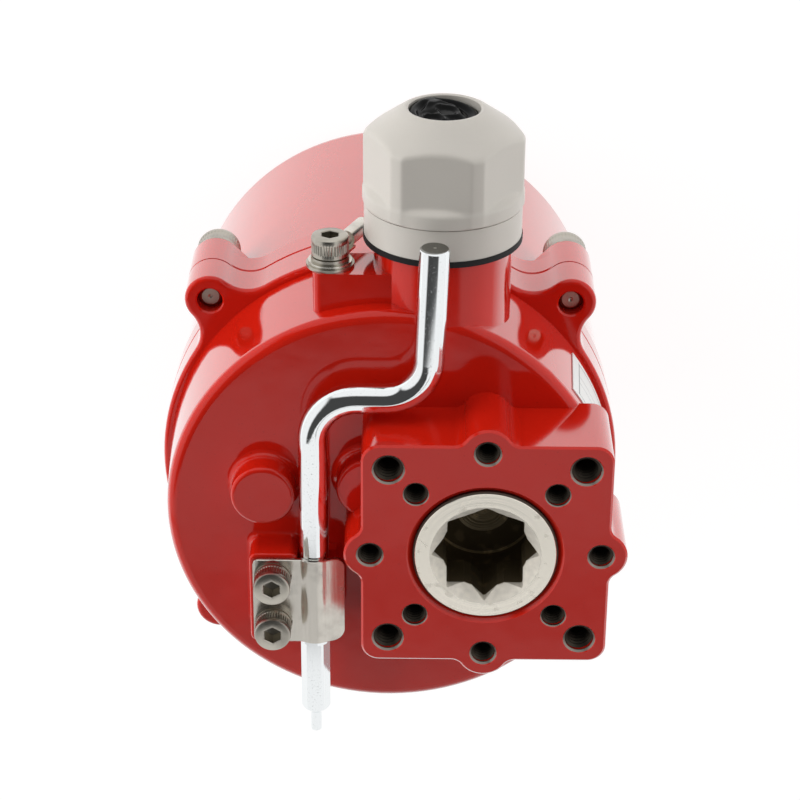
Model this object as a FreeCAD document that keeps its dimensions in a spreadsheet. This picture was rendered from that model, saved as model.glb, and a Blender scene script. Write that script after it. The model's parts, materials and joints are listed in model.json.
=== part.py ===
import FreeCAD, Part
import Sketcher
import math
import os

# Compact quarter-turn electric valve actuator with an ISO 5211 mounting pad.
# The frame: Z = 0 is the mounting face, the output shaft turns about the Z axis, +Z leaves the
# mounting face and +Y points at the cable gland. The round housing stands beside the output shaft.
# Depths are measured down from the mounting face, so a depth of 15 is Z = -15.

SIZES = (
    ("axis_offset", 17.8, "output shaft to the middle of the round housing"),
    ("disc_depth", 15.0, "mounting face to the round end face"),
    ("rim_depth", 35.5, "mounting face to the housing rim"),
    ("split_depth", 44.5, "mounting face to the joint between housing and cover"),
    ("ear_depth", 54.0, "mounting face to the seat of the cover screws"),
    ("total_height", 107.0, "mounting face to the flat end of the cover"),
    ("disc_radius", 41.4, "round end face"),
    ("wall_radius", 42.6, "housing wall at its foot"),
    ("rim_radius", 44.0, "rim of housing and cover"),
    ("cavity_radius", 38.6, "inside of housing and cover"),
    ("top_wall", 3.5, "wall behind the round end face"),
    ("disc_round", 2.0, "edge round of the end face"),
    ("rim_round", 0.9, "edge round of the rims"),
    ("ear_spread", 34.0, "middle of the housing to an ear along X and along Y"),
    ("ear_radius", 4.8, "ear"),
    ("ear_blend", 6.0, "hollow blend between an ear and the rim"),
    ("seam_bevel", 0.4, "bevel along the joint between housing and cover"),
    ("hidden_root", 32.8, "middle of the housing to the hidden start of neck and earth block"),
    ("cover_rim", 6.0, "thickness of the cover rim"),
    ("cover_wall_radius", 43.1, "cover wall next to its rim"),
    ("cover_end_radius", 42.3, "cover wall at its closed end"),
    ("cover_round", 4.5, "edge round of the closed end"),
    ("cover_end_wall", 3.6, "thickness of the closed end"),
    ("screw_edge", 0.4, "bevels of screws and shafts"),
    ("socket_share", 0.55, "depth of a screw's hex socket, in head heights"),
    ("flat_key_share", 1.2, "key size of a countersunk screw, in shank radii"),
    ("flat_socket_share", 0.6, "depth of its hex socket, in head heights"),
    ("washer_cut", 0.9, "cut through a spring washer"),
    ("cover_key", 4.0, "key size of the cover screws"),
    ("tiny_thread_radius", 1.25, "tapped holes for M3"),
    ("tiny_thread_depth", 2.2, "depth of the M3 holes in the cover's end"),
    ("tiny_head_radius", 2.75, "heads of the M3 screws"),
    ("tiny_head_height", 2.4, "heads of the M3 screws"),
    ("tiny_key", 2.5, "key size of the M3 screws"),
    ("switch_head_radius", 2.1, "heads of the screws through the switches"),
    ("switch_screw_x", 2.9, "output axis to the switch screws along X"),
    ("slim_key", 1.5, "key size of the screws through switches and board"),
    ("plunger_radius", 1.2, "plungers of the limit switches"),
    ("plunger_length", 3.6, "plungers, with their part inside the switch"),
    ("bracket_foot", 5.6, "foot of the switch bracket"),
    ("bracket_screw_y", -26.4, "screws of the bracket's foot along Y"),
    ("indicator_gap", 11.5, "end of the cover to the end of the indicator shaft"),
    ("indicator_thickness", 1.6, "disc of the position indicator"),
    ("socket_depth", 12.0, "hex socket for the hand crank"),
    ("tooth_taper", 0.355, "half of what a tooth narrows from the pitch circle to its tip, in modules"),
    ("shaft_engagement", 6.0, "motor shaft inside the gearhead"),
    ("motor_pinion_hole", 4.0, "hole of the gear plate round the motor shaft"),
    ("notch_shift", -6.8, "middle of the housing to the middle of the cable notch"),
    ("stud_radius", 1.4, "threaded ends of the board's posts"),
    ("post_inset", 3.0, "end of the board to its posts"),
    ("post_shift", 4.2, "middle of the board to its single post"),
    ("gearhead_screw", 7.0, "screws from the plate into the gearhead"),
    ("gearhead_screw_circle", 11.5, "middle of the gearhead to its screws"),
    ("can_round", 2.0, "edge round of motor and capacitor"),
    ("motor_boss", 2.0, "bearing boss at the motor's far end"),
    ("motor_boss_radius", 4.9, "bearing boss at the motor's far end"),
    ("capacitor_x", -14.0, "run capacitor along X"),
    ("capacitor_y", -29.5, "run capacitor along Y"),
    ("post_radius", 2.4, "half the size across the flats of the board's posts"),
    ("terminal_length", 28.0, "terminal block"),
    ("terminal_width", 8.0, "terminal block"),
    ("terminal_height", 10.0, "terminal block"),
    ("terminal_count", 5, "terminals of the block"),
    ("terminal_screw", 1.7, "screw holes of the terminal block"),
    ("terminal_screw_depth", 4.0, "screw holes of the terminal block"),
    ("slot_width", 0.7, "slots of the terminal screws"),
    ("slot_depth", 0.5, "slots of the terminal screws"),
    ("door_width", 3.4, "wire doors of the terminal block"),
    ("door_height", 4.0, "wire doors of the terminal block"),
    ("door_level", 3.5, "circuit board to the wire doors"),
    ("gland_collar_radius", 11.0, "threaded collar of the gland body inside the nut"),
    ("gland_collar_length", 8.1, "that collar"),
    ("gland_turn", -3.0, "turn of the gland nut"),
    ("plug_radius", 5.2, "stem of the gland's plug"),
    ("plug_head", 1.0, "head of the plug inside the nut's mouth"),
    ("plug_tab", 0.8, "raised bars on the plug"),
    ("plug_bar_margin", 1.4, "ends of these bars to the plug's edge"),
    ("mouth_depth", 2.4, "mouth of the gland nut to the ring inside it"),
    ("star_corner", 0.4, "corner round of the double square"),
    ("flange_side", 45.2, "side of the square mounting pad"),
    ("flange_corner", 3.3, "corner round of the pad"),
    ("flange_edge", 0.4, "bevel of the pad's face"),
    ("lobe_distance", 21.0, "output axis to a lobe of the pad"),
    ("lobe_radius", 4.8, "lobe"),
    ("lobe_blend", 2.4, "hollow blend beside a lobe"),
    ("circle_large", 50.0, "bolt circle F05"),
    ("circle_small", 36.0, "bolt circle F03"),
    ("circle_middle", 42.0, "bolt circle F04"),
    ("hole_large", 2.65, "radius of the M6 holes"),
    ("hole_small", 2.2, "radius of the M5 holes"),
    ("hole_depth", 12.0, "depth of the mounting holes"),
    ("hole_chamfer", 0.3, "chamfer of tapped holes"),
    ("mouth_wide", 0.45, "chamfer of the F05 and F04 holes"),
    ("drill_point", 0.6, "height of a drill point, in hole radii"),
    ("thread_clearance", 0.05, "screw shank to tapped hole"),
    ("running_clearance", 0.05, "shaft to bearing bore"),
    ("side_clearance", 0.3, "turning piece to the fixed face beside it"),
    ("seat_clearance", 0.02, "pressed piece to its seat"),
    ("sleeve_radius", 13.2, "drive sleeve at the mounting face"),
    ("sleeve_recess", 0.1, "sleeve end below the mounting face"),
    ("sleeve_mouth", 1.1, "chamfer of the sleeve's bore in the pad"),
    ("sleeve_boss_radius", 17.5, "bearing boss behind the end face"),
    ("bearing_depth", 20.0, "mounting face to the inner end of the sleeve's bearing"),
    ("collar_radius", 15.0, "thrust collar of the sleeve"),
    ("collar_thickness", 2.0, "thrust collar"),
    ("seat_radius", 10.5, "gear seat of the sleeve"),
    ("star_side", 14.0, "across the flats of the double square"),
    ("star_depth", 10.0, "depth of the double square"),
    ("star_bore", 7.9, "radius of the round bore through the double square"),
    ("star_lead", 2.4, "depth of the lead-in cone of the double square"),
    ("corner_gap", 0.2, "lead-in and relief past the corners of the double square"),
    ("relief_depth", 18.0, "mounting face to the floor of the relief behind the double square"),
    ("ring_section", 0.9, "section radius of the sleeve's sealing ring"),
    ("ring_depth", 6.0, "mounting face to the sleeve's sealing ring"),
    ("output_module", 1.0, "module of the output gear"),
    ("output_teeth", 36, "teeth of the output gear"),
    ("output_width", 6.0, "face width of the output gear"),
    ("second_pinion_teeth", 10, "teeth of the second shaft's pinion"),
    ("second_module", 0.75, "module of the second wheel"),
    ("second_teeth", 40, "teeth of the second wheel"),
    ("first_pinion_teeth", 12, "teeth of the first shaft's pinion"),
    ("first_module", 0.5, "module of the first wheel"),
    ("first_teeth", 52, "teeth of the first wheel"),
    ("motor_pinion_teeth", 12, "teeth of the motor pinion"),
    ("wheel_width", 3.0, "face width of the first and second wheels"),
    ("pinion_extra", 0.5, "how much wider a pinion is than its wheel, each side"),
    ("backlash", 0.06, "share of the module taken off each flank"),
    ("second_angle", 159.0, "direction from the output shaft to the second shaft"),
    ("first_angle", 185.0, "direction from the second shaft to the first shaft"),
    ("motor_angle", 290.0, "direction from the first shaft to the motor shaft"),
    ("second_level", 31.5, "mounting face to the second wheel"),
    ("first_level", 36.5, "mounting face to the first wheel"),
    ("journal_radius", 2.5, "journals of the gear shafts"),
    ("boss_radius", 5.95, "round bosses over the gear shafts"),
    ("boss_height", 5.6, "bosses above the end face"),
    ("boss_wall", 2.0, "wall over the blind bearing bores"),
    ("boss_foot", 1.1, "blend at the foot of a boss"),
    ("boss_edge", 0.8, "edge round of a boss"),
    ("plate_depth", 41.5, "mounting face to the gear plate"),
    ("plate_thickness", 2.5, "gear plate"),
    ("plate_radius", 37.6, "gear plate"),
    ("plate_notch", 27.0, "start of the cable notch along Y"),
    ("notch_width", 26.0, "cable notch in the gear plate"),
    ("small_gap", 0.1, "recess of pieces that end flush"),
    ("pillar_circle", 35.0, "middle of the housing to a pillar"),
    ("pillar_radius", 4.0, "pillars that carry the gear plate"),
    ("pillar_thread", 4.25, "how deep the gear plate's screws go into the pillars"),
    ("plate_screw_radius", 1.7, "tapped holes of the pillars"),
    ("camshaft_radius", 4.0, "indicator shaft"),
    ("camshaft_spigot", 3.0, "end of the indicator shaft in the sleeve"),
    ("spigot_length", 4.0, "that end"),
    ("bush_radius", 6.0, "bronze bush in the gear plate"),
    ("bush_flange", 7.5, "flange of that bush"),
    ("cam_radius", 6.5, "limit cams"),
    ("cam_bump", 3.0, "radius of the bump of a cam"),
    ("cam_reach", 8.8, "highest point of a cam"),
    ("cam_thickness", 5.0, "limit cams"),
    ("open_cam_depth", 51.0, "mounting face to the open cam"),
    ("open_cam_angle", 180.0, "direction of the open cam's bump"),
    ("closed_cam_angle", 270.0, "direction of the closed cam's bump"),
    ("cam_pitch", 8.0, "open cam to closed cam"),
    ("switch_length", 20.0, "limit switch"),
    ("switch_height", 10.0, "limit switch"),
    ("switch_width", 6.4, "limit switch"),
    ("switch_gap", 11.9, "output axis to the limit switches"),
    ("bracket_thickness", 1.5, "switch bracket"),
    ("bracket_width", 10.0, "switch bracket"),
    ("gearhead_radius", 16.0, "gearhead of the motor"),
    ("gearhead_length", 14.0, "gearhead of the motor"),
    ("gearhead_offset", 5.5, "motor shaft to the middle of the gearhead"),
    ("motor_radius", 15.4, "motor can"),
    ("motor_length", 26.0, "motor can"),
    ("motor_shaft_radius", 1.5, "motor shaft"),
    ("board_depth", 58.0, "mounting face to the circuit board"),
    ("board_length", 40.0, "circuit board"),
    ("board_width", 14.0, "circuit board"),
    ("board_thickness", 1.6, "circuit board"),
    ("board_y", 23.0, "middle of the circuit board along Y"),
    ("capacitor_radius", 6.5, "run capacitor"),
    ("capacitor_length", 28.0, "run capacitor"),
    ("manual_radius", 4.4, "manual shaft inside the cover"),
    ("manual_inset", 7.6, "flat end of the cover to the end of the manual shaft"),
    ("port_radius", 6.0, "hole in the cover over the manual shaft"),
    ("port_rebate_radius", 8.2, "rebate for the plug's head"),
    ("port_rebate", 1.5, "depth of that rebate"),
    ("window_opening", 12.5, "opening over the indicator"),
    ("window_flange", 14.8, "flange of the window"),
    ("window_thickness", 2.8, "flange of the window"),
    ("window_seal_thickness", 0.8, "ring between window and cover"),
    ("retainer_radius", 20.0, "ring that holds the window"),
    ("retainer_circle", 17.6, "screws of that ring"),
    ("retainer_thickness", 1.2, "ring that holds the window"),
    ("indicator_radius", 11.0, "position indicator"),
    ("seal_section", 0.75, "section radius of the cover seal"),
    ("seal_circle", 41.3, "cover seal"),
    ("cover_screw_radius", 2.4, "tapped holes of the ears"),
    ("cover_hole_radius", 2.75, "holes of the cover's ears"),
    ("cover_head_radius", 4.25, "heads of the cover screws"),
    ("cover_head_height", 5.0, "heads of the cover screws"),
    ("cover_screw_reach", 2.0, "screw end below the ear's face"),
    ("spring_washer_thickness", 1.2, "spring washers of the cover screws"),
    ("gland_x", -8.25, "gland axis along X"),
    ("gland_depth", 27.65, "mounting face to the gland axis"),
    ("neck_radius", 12.6, "neck under the gland"),
    ("neck_end", 51.2, "end of the neck along Y"),
    ("gland_thread_radius", 9.3, "tapped bore of the neck"),
    ("gland_gasket_radius", 14.5, "flat ring under the gland"),
    ("gland_gasket_thickness", 1.1, "flat ring under the gland"),
    ("gland_body_radius", 14.35, "gland body"),
    ("gland_body_length", 5.8, "gland body outside the neck"),
    ("gland_spigot_length", 12.0, "threaded end of the gland body"),
    ("gland_bore_radius", 7.4, "bore of the gland"),
    ("gland_nut_radius", 14.5, "gland nut"),
    ("gland_nut_flats", 25.6, "across the flats of the gland nut"),
    ("gland_nut_collar", 2.8, "round collar of the nut"),
    ("gland_nut_shoulder", 12.9, "nut from its lower edge to its shoulder"),
    ("gland_nut_length", 17.9, "nut from its lower edge to its mouth"),
    ("gland_mouth_radius", 6.5, "mouth of the nut"),
    ("gland_nut_round", 2.2, "round of the nut's shoulder"),
    ("earth_x", -28.6, "earth screw along X"),
    ("earth_depth", 23.5, "mounting face to the earth screw"),
    ("earth_face", 47.2, "top of the earth block along Y"),
    ("earth_block_left", 31.7, "left side of the earth block, from the output axis"),
    ("earth_block_front", 19.0, "mounting face to the front of the earth block"),
    ("earth_block_back", 28.5, "mounting face to the back of the earth block"),
    ("earth_block_corner", 1.6, "corner round of the earth block"),
    ("small_thread_radius", 1.7, "tapped holes for M4"),
    ("small_head_radius", 3.4, "heads of the M4 screws"),
    ("small_head_height", 4.0, "heads of the M4 screws"),
    ("small_key", 3.0, "key size of the M4 screws"),
    ("small_thread_depth", 7.5, "depth of the tapped holes for M4"),
    ("earth_washer_radius", 4.4, "flat washer of the earth screw"),
    ("earth_washer_thickness", 0.6, "flat washer of the earth screw"),
    ("lug_thickness", 0.5, "ring lug"),
    ("lug_ring_radius", 4.0, "ring lug"),
    ("lug_barrel_radius", 1.6, "barrel of the ring lug"),
    ("lug_start", 7.0, "screw to the start of the barrel"),
    ("lug_end", 14.0, "screw to the end of the barrel"),
    ("lug_angle", 66.4, "direction of the lug behind the X axis"),
    ("small_spring_thickness", 0.8, "spring washers of the M4 screws"),
    ("rod_radius", 2.75, "hand crank"),
    ("rod_depth", 9.8, "mounting face to the rod's axis"),
    ("crank_leg_x", -31.5, "lower leg along X"),
    ("crank_run_y", 26.9, "cross run along Y"),
    ("crank_top_x", -9.8, "end of the upper leg along X"),
    ("crank_top_y", 56.6, "end of the upper leg along Y"),
    ("crank_lean", 2.0, "lean of the upper leg"),
    ("crank_bend", 8.0, "bend radius of the rod's axis"),
    ("crank_key", 5.0, "across the flats of the hex end"),
    ("crank_key_start", -24.5, "start of the hex end along Y"),
    ("crank_end", -40.6, "end of the hex end along Y"),
    ("crank_pin_radius", 1.05, "pin on the hex end"),
    ("crank_pin_end", -45.0, "end of that pin along Y"),
    ("clip_top", 8.0, "mounting face to the clip's seat"),
    ("clip_thickness", 1.0, "clip"),
    ("clip_left", -42.9, "left edge of the clip"),
    ("clip_right", -25.9, "right edge of the clip"),
    ("clip_upper", -5.5, "upper edge of the clip"),
    ("clip_lower", -23.4, "lower edge of the clip"),
    ("clip_corner", 2.0, "corner round of the clip's free end"),
    ("clip_flare", 1.6, "rise of the clip's free end"),
    ("clip_screw_x", -39.15, "clip screws along X"),
    ("clip_screw_y", -9.05, "upper clip screw along Y"),
    ("clip_screw_pitch", 10.0, "upper clip screw to the lower one"),
    ("clip_pad_margin", 0.7, "seat of the clip beyond the clip"),
    ("seat_corner", 1.6, "corner round of the clip's seat"),
    ("seat_edge", 0.5, "edge round of the clip's seat"),
    ("seat_foot", 1.0, "blend at the foot of the clip's seat"),
    ("overlap", 1.0, "how far a raised feature starts inside its base"),
    ("circlip_thickness", 0.8, "circlip behind the output gear"),
    ("circlip_seat", 9.9, "groove of that circlip"),
    ("circlip_radius", 12.2, "circlip behind the output gear"),
    ("key_width", 4.0, "feather key of the output gear"),
    ("shaft_shoulder", 3.5, "shoulders of the gear shafts"),
    ("hub_radius", 6.5, "hubs of the wheels"),
    ("addendum", 0.85, "height of a tooth above the pitch circle, in modules"),
    ("dedendum", 1.22, "depth of a tooth below the pitch circle, in modules"),
    ("rod_clearance", 0.06, "rod to its rest and clip"),
    ("rest_width", 8.0, "rest under the rod"),
    ("label_start", -32.0, "side label, first angle"),
    ("label_sweep", 68.0, "side label, angle covered"),
    ("label_top", 19.0, "mounting face to the label"),
    ("label_height", 14.0, "side label"),
    ("label_thickness", 0.2, "side label"),
)

doc = FreeCAD.newDocument("QuarterTurnActuator")
sheet = doc.addObject("Spreadsheet::Sheet", "Sizes")
for row, (alias, number, meaning) in enumerate(SIZES, start=1):
    sheet.set("A%d" % row, meaning)
    sheet.set("B%d" % row, str(number))
    sheet.setAlias("B%d" % row, alias)
doc.recompute()


class Size:
    """A length or an angle: its number, and the text that ties it to the sheet."""

    def __init__(self, number, text):
        self.number = float(number)
        self.text = text

    def __add__(self, other):
        other = as_size(other)
        return Size(self.number + other.number, "(%s + %s)" % (self.text, other.text))

    def __sub__(self, other):
        other = as_size(other)
        return Size(self.number - other.number, "(%s - %s)" % (self.text, other.text))

    def __mul__(self, other):
        other = as_size(other)
        return Size(self.number * other.number, "(%s * %s)" % (self.text, other.text))

    def __truediv__(self, other):
        other = as_size(other)
        return Size(self.number / other.number, "(%s / %s)" % (self.text, other.text))

    def __radd__(self, other):
        return as_size(other) + self

    def __rsub__(self, other):
        return as_size(other) - self

    def __rmul__(self, other):
        return as_size(other) * self

    def __neg__(self):
        return Size(-self.number, "(0 - %s)" % self.text)


def as_size(thing):
    return thing if isinstance(thing, Size) else Size(thing, repr(float(thing)))


def cosine(angle):
    angle = as_size(angle)
    return Size(math.cos(math.radians(angle.number)), "cos(%s)" % angle.text)


def sine(angle):
    angle = as_size(angle)
    return Size(math.sin(math.radians(angle.number)), "sin(%s)" % angle.text)


def square_root(area):
    return Size(math.sqrt(area.number), "sqrt(%s)" % area.text)


class SheetSizes:
    """The named sizes of the sheet, as size.flange_side and so on."""

    def __getattr__(self, alias):
        return Size(sheet.get(alias), "Sizes." + alias)


size = SheetSizes()


def tie(thing, path, value):
    thing.setExpression(path, as_size(value).text)


# Turns for pieces whose own axis is not the output axis.
ALONG_Y = FreeCAD.Rotation(FreeCAD.Vector(1, 0, 0), -90)
DOWN = FreeCAD.Rotation(FreeCAD.Vector(1, 0, 0), 180)
UPRIGHT = FreeCAD.Rotation()


def place(thing, x, y, z, rotation=UPRIGHT):
    """Put a sub-part at its place in the frame."""
    numbers = [as_size(value).number for value in (x, y, z)]
    thing.Placement = FreeCAD.Placement(FreeCAD.Vector(*numbers), rotation)
    for letter, value in zip("xyz", (x, y, z)):
        tie(thing, "Placement.Base." + letter, value)


def circle(radius, x=0, y=0):
    """A figure for a sketch: one circle."""

    def add(sketch):
        numbers = [as_size(value).number for value in (x, y, radius)]
        middle = FreeCAD.Vector(numbers[0], numbers[1], 0)
        ring = sketch.addGeometry(Part.Circle(middle, FreeCAD.Vector(0, 0, 1), numbers[2]), False)
        constrain(sketch, "Radius", radius, ring)
        fix_point(sketch, ring, 3, x, y)

    return add


def outline(*points):
    """A figure for a sketch: a closed line through the points; a third number rounds a corner."""

    def add(sketch):
        stops = []
        for index, point in enumerate(points):
            if len(point) == 3:
                stops.append(rounded_corner(points[index - 1], point, points[(index + 1) % len(points)]))
            else:
                stops.append((point, point, None))
        first = sketch.GeometryCount
        ends = []
        for index, (start, end, arc) in enumerate(stops):
            if arc is not None:
                ends.append(add_arc(sketch, start, end, *arc))
            following = stops[(index + 1) % len(stops)][0]
            edge = sketch.addGeometry(Part.LineSegment(at(end), at(following)), False)
            fix_point(sketch, edge, 1, *end)
            ends.append((edge, 1, 2))
        for index, (edge, start_end, end_end) in enumerate(ends):
            following, its_start, its_end = ends[(index + 1) % len(ends)]
            sketch.addConstraint(Sketcher.Constraint("Coincident", edge, end_end, following, its_start))

    return add


def at(point):
    return FreeCAD.Vector(as_size(point[0]).number, as_size(point[1]).number, 0)


def rounded_corner(before, corner, after):
    """Where the round of a corner starts and ends, with its middle, radius and sense of turn."""
    x, y, radius = (as_size(value) for value in corner)
    in_x, in_y = as_size(before[0]) - x, as_size(before[1]) - y
    out_x, out_y = as_size(after[0]) - x, as_size(after[1]) - y
    in_length = square_root(in_x * in_x + in_y * in_y)
    out_length = square_root(out_x * out_x + out_y * out_y)
    in_x, in_y, out_x, out_y = in_x / in_length, in_y / in_length, out_x / out_length, out_y / out_length
    opening = in_x * out_x + in_y * out_y
    run = radius * square_root((1 + opening) / (1 - opening))
    start = x + run * in_x, y + run * in_y
    end = x + run * out_x, y + run * out_y
    share = run / (1 + opening)
    middle = x + share * (in_x + out_x), y + share * (in_y + out_y)
    left_turn = (in_y * out_x - in_x * out_y).number > 0
    return start, end, (middle, radius, left_turn)


def add_arc(sketch, start, end, middle, radius, left_turn):
    """Add the arc of a rounded corner and tell which of its ends comes first on the way round."""
    centre = at(middle)
    first, last = (at(start), at(end)) if left_turn else (at(end), at(start))
    angles = [math.atan2((point - centre).y, (point - centre).x) for point in (first, last)]
    if angles[1] < angles[0]:
        angles[1] += 2 * math.pi
    whole = Part.Circle(centre, FreeCAD.Vector(0, 0, 1), radius.number)
    edge = sketch.addGeometry(Part.ArcOfCircle(whole, *angles), False)
    constrain(sketch, "Radius", radius, edge)
    start_end, end_end = (1, 2) if left_turn else (2, 1)
    fix_point(sketch, edge, start_end, *start)
    return edge, start_end, end_end


def box(x0, y0, x1, y1, *radius):
    """A figure for a sketch: a rectangle between two corners, with or without rounded corners."""
    return outline((x0, y0, *radius), (x1, y0, *radius), (x1, y1, *radius), (x0, y1, *radius))


def constrain(sketch, kind, value, *where):
    number = sketch.addConstraint(Sketcher.Constraint(kind, *where, as_size(value).number))
    tie(sketch, "Constraints[%d]" % number, value)


def fix_point(sketch, edge, end, x, y):
    """Hold one point of an edge at x and y of the sketch's own origin."""
    constrain(sketch, "DistanceX", x, -1, 1, edge, end)
    constrain(sketch, "DistanceY", y, -1, 1, edge, end)


class Piece:
    """One sub-part: a body that is built up feature by feature."""

    def __init__(self, name, x=0, y=0, z=0, rotation=UPRIGHT):
        self.name = name
        self.body = doc.addObject("PartDesign::Body", name)
        self.body.Label = name
        self.tip = None
        place(self.body, x, y, z, rotation)

    def sketch(self, figures, level=0, x=0, y=0, plane="XY_Plane"):
        """Draw the figures level above one of the body's base planes, about the point x, y."""
        drawing = self.body.newObject("Sketcher::SketchObject", self.name + "_sketch")
        base = [item for item in self.body.Origin.OriginFeatures if item.Role == plane][0]
        drawing.AttachmentSupport = [(base, "")]
        drawing.MapMode = "FlatFace"
        for letter, value in zip("xyz", (x, y, level)):
            tie(drawing, "AttachmentOffset.Base." + letter, value)
        for figure in figures:
            figure(drawing)
        return drawing

    def feature(self, kind, drawing=None):
        made = self.body.newObject("PartDesign::" + kind, self.name + "_" + kind.lower())
        if drawing is not None:
            made.Profile = drawing
        self.body.Tip = made
        self.tip = made
        return made

    def pad(self, figures, level, height, **where):
        """Add the figures' prism, from level up."""
        made = self.feature("Pad", self.sketch(figures, level, **where))
        tie(made, "Length", height)
        return made

    def pocket(self, figures, level, depth, **where):
        """Cut the figures' prism, from level down."""
        made = self.feature("Pocket", self.sketch(figures, level, **where))
        tie(made, "Length", depth)
        return made

    def spin(self, figures, x=0, y=0, angle=360, kind="Revolution"):
        """Add or cut the solid that half sections make as they turn about an upright axis."""
        drawing = self.sketch(figures, -as_size(y), x=x, plane="XZ_Plane")
        made = self.feature(kind, drawing)
        made.ReferenceAxis = (drawing, ["V_Axis"])
        tie(made, "Angle", angle)
        return made

    def turned(self, *points, **where):
        return self.spin([outline(*points)], **where)

    def bored(self, *points, **where):
        return self.spin([outline(*points)], kind="Groove", **where)

    def drilled(self, x, y, level, radius, depth, way=-1, mouth=None):
        """Cut a tapped hole from level, downwards or upwards, with its chamfer and drill point."""
        edge = mouth or size.hole_chamfer
        return self.bored(
            (0, level - way * edge),
            (radius + 2 * edge, level - way * edge),
            (radius, level + way * edge),
            (radius, level + way * depth),
            (0, level + way * (depth + size.drill_point * radius)),
            x=x,
            y=y,
        )

    def ring(self, count, *features, about=None):
        """Repeat features round the body's Z axis, or round the middle of another one's sketch."""
        made = self.feature("PolarPattern")
        made.Originals = list(features)
        if about is None:
            made.Axis = ([item for item in self.body.Origin.OriginFeatures if item.Role == "Z_Axis"][0], [""])
        else:
            made.Axis = (about.Profile[0], ["N_Axis"])
        made.Angle = 360
        tie(made, "Occurrences", count)
        return made

    def dress(self, kind, amount, test):
        """Round or bevel the edges that pass a test."""
        doc.recompute()
        base = self.tip
        names = ["Edge%d" % (index + 1) for index, edge in enumerate(base.Shape.Edges) if test(edge)]
        made = self.feature(kind)
        made.Base = (base, names)
        tie(made, "Radius" if kind == "Fillet" else "Size", amount)
        return made

    def round(self, radius, test):
        return self.dress("Fillet", radius, test)

    def bevel(self, amount, test):
        return self.dress("Chamfer", amount, test)


NEAR = 0.02


def at_level(edge, level):
    """Whether an edge lies flat at a height of its body."""
    return all(abs(edge.valueAt(at).z - level.number) < NEAR for at in stations(edge))


def stations(edge):
    span = edge.LastParameter - edge.FirstParameter
    return [edge.FirstParameter + share * span for share in (0.0, 0.3, 0.6, 1.0)]


def distance_from(edge, x, y):
    """The nearest that an edge comes to an upright axis, at its ends and between them."""
    x, y = as_size(x).number, as_size(y).number
    return min(math.hypot(edge.valueAt(at).x - x, edge.valueAt(at).y - y) for at in stations(edge))


def is_round(edge, level, radius, x=0, y=0):
    """Whether an edge is the circle of this radius about x, y at this height."""
    x, y = as_size(x).number, as_size(y).number
    return at_level(edge, level) and all(
        abs(math.hypot(edge.valueAt(at).x - x, edge.valueAt(at).y - y) - radius.number) < NEAR
        for at in stations(edge)
    )


def is_within(edge, low_x, low_y, high_x, high_y):
    """Whether an edge lies inside an upright box or on its sides."""
    points = [edge.valueAt(at) for at in stations(edge)]
    across = all(low_x.number - NEAR < point.x < high_x.number + NEAR for point in points)
    return across and all(low_y.number - NEAR < point.y < high_y.number + NEAR for point in points)


def runs_along(edge, x, z):
    """Whether an edge is a straight line along Y at this x and z."""
    points = [edge.valueAt(at) for at in stations(edge)]
    return all(math.hypot(point.x - x.number, point.z - z.number) < NEAR for point in points)


def is_upright(edge, *points):
    """Whether an edge is an upright line through one of the points."""
    start, end = edge.valueAt(edge.FirstParameter), edge.valueAt(edge.LastParameter)
    if math.hypot(start.x - end.x, start.y - end.y) > NEAR:
        return False
    return any(math.hypot(start.x - x, start.y - y) < NEAR for x, y in points)


def corners_of(x, y):
    """The four corners at plus and minus x and y, as numbers."""
    x, y = as_size(x).number, as_size(y).number
    return [(across * x, along * y) for across in (-1, 1) for along in (-1, 1)]


nodes = []


def finish(piece):
    """Take a piece as a node of the assembly."""
    nodes.append(piece.body)
    return piece


def group(name, pieces):
    """Take several equal pieces as one node of the assembly."""
    made = doc.addObject("Part::Compound", name)
    made.Label = name
    made.Links = [piece.body for piece in pieces]
    nodes.append(made)
    return made


def hexagon(flats, x=0, y=0):
    """A figure for a sketch: a hexagon by its size across the flats, with corners on the X axis."""
    corner = flats / (2 * cosine(30))
    angles = range(0, 360, 60)
    return outline(*[(x + corner * cosine(angle), y + corner * sine(angle)) for angle in angles])


# Places of the shafts, from the gears' teeth
second_distance = size.output_module * (size.output_teeth + size.second_pinion_teeth) / 2
first_distance = size.second_module * (size.second_teeth + size.first_pinion_teeth) / 2
motor_distance = size.first_module * (size.first_teeth + size.motor_pinion_teeth) / 2
second_x = second_distance * cosine(size.second_angle)
second_y = second_distance * sine(size.second_angle)
first_x = second_x + first_distance * cosine(size.first_angle)
first_y = second_y + first_distance * sine(size.first_angle)
motor_x = first_x + motor_distance * cosine(size.motor_angle)
motor_y = first_y + motor_distance * sine(size.motor_angle)
gearhead_x = motor_x + size.gearhead_offset * cosine(size.motor_angle)
gearhead_y = motor_y + size.gearhead_offset * sine(size.motor_angle)

# Levels that several pieces share
middle = -size.axis_offset
disc = -size.disc_depth
ceiling = disc - size.top_wall
split = -size.split_depth
plate_back = -(size.plate_depth + size.plate_thickness)
boss_bore = disc + size.boss_height - size.boss_wall
cover_floor = size.cover_end_wall - size.total_height
collar_top = -(size.bearing_depth + size.side_clearance)
gear_top = collar_top - size.collar_thickness
gear_bottom = gear_top - size.output_width
sleeve_end = gear_bottom - size.circlip_thickness - size.overlap
wheel_gap = size.plate_depth - size.side_clearance


DIAGONAL = 45
PILLAR_ANGLES = 45, 115, 260, 320
RETAINER_ANGLES = 90, 210, 330
GEARHEAD_SCREW_ANGLES = 20, 250


def pillar_places():
    """The four pillars of the gear plate, from the middle of the round housing."""
    for angle in PILLAR_ANGLES:
        yield size.pillar_circle * cosine(angle), size.pillar_circle * sine(angle)


def ear_places():
    for across in (-1, 1):
        for along in (-1, 1):
            yield middle + across * size.ear_spread, along * size.ear_spread


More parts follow.
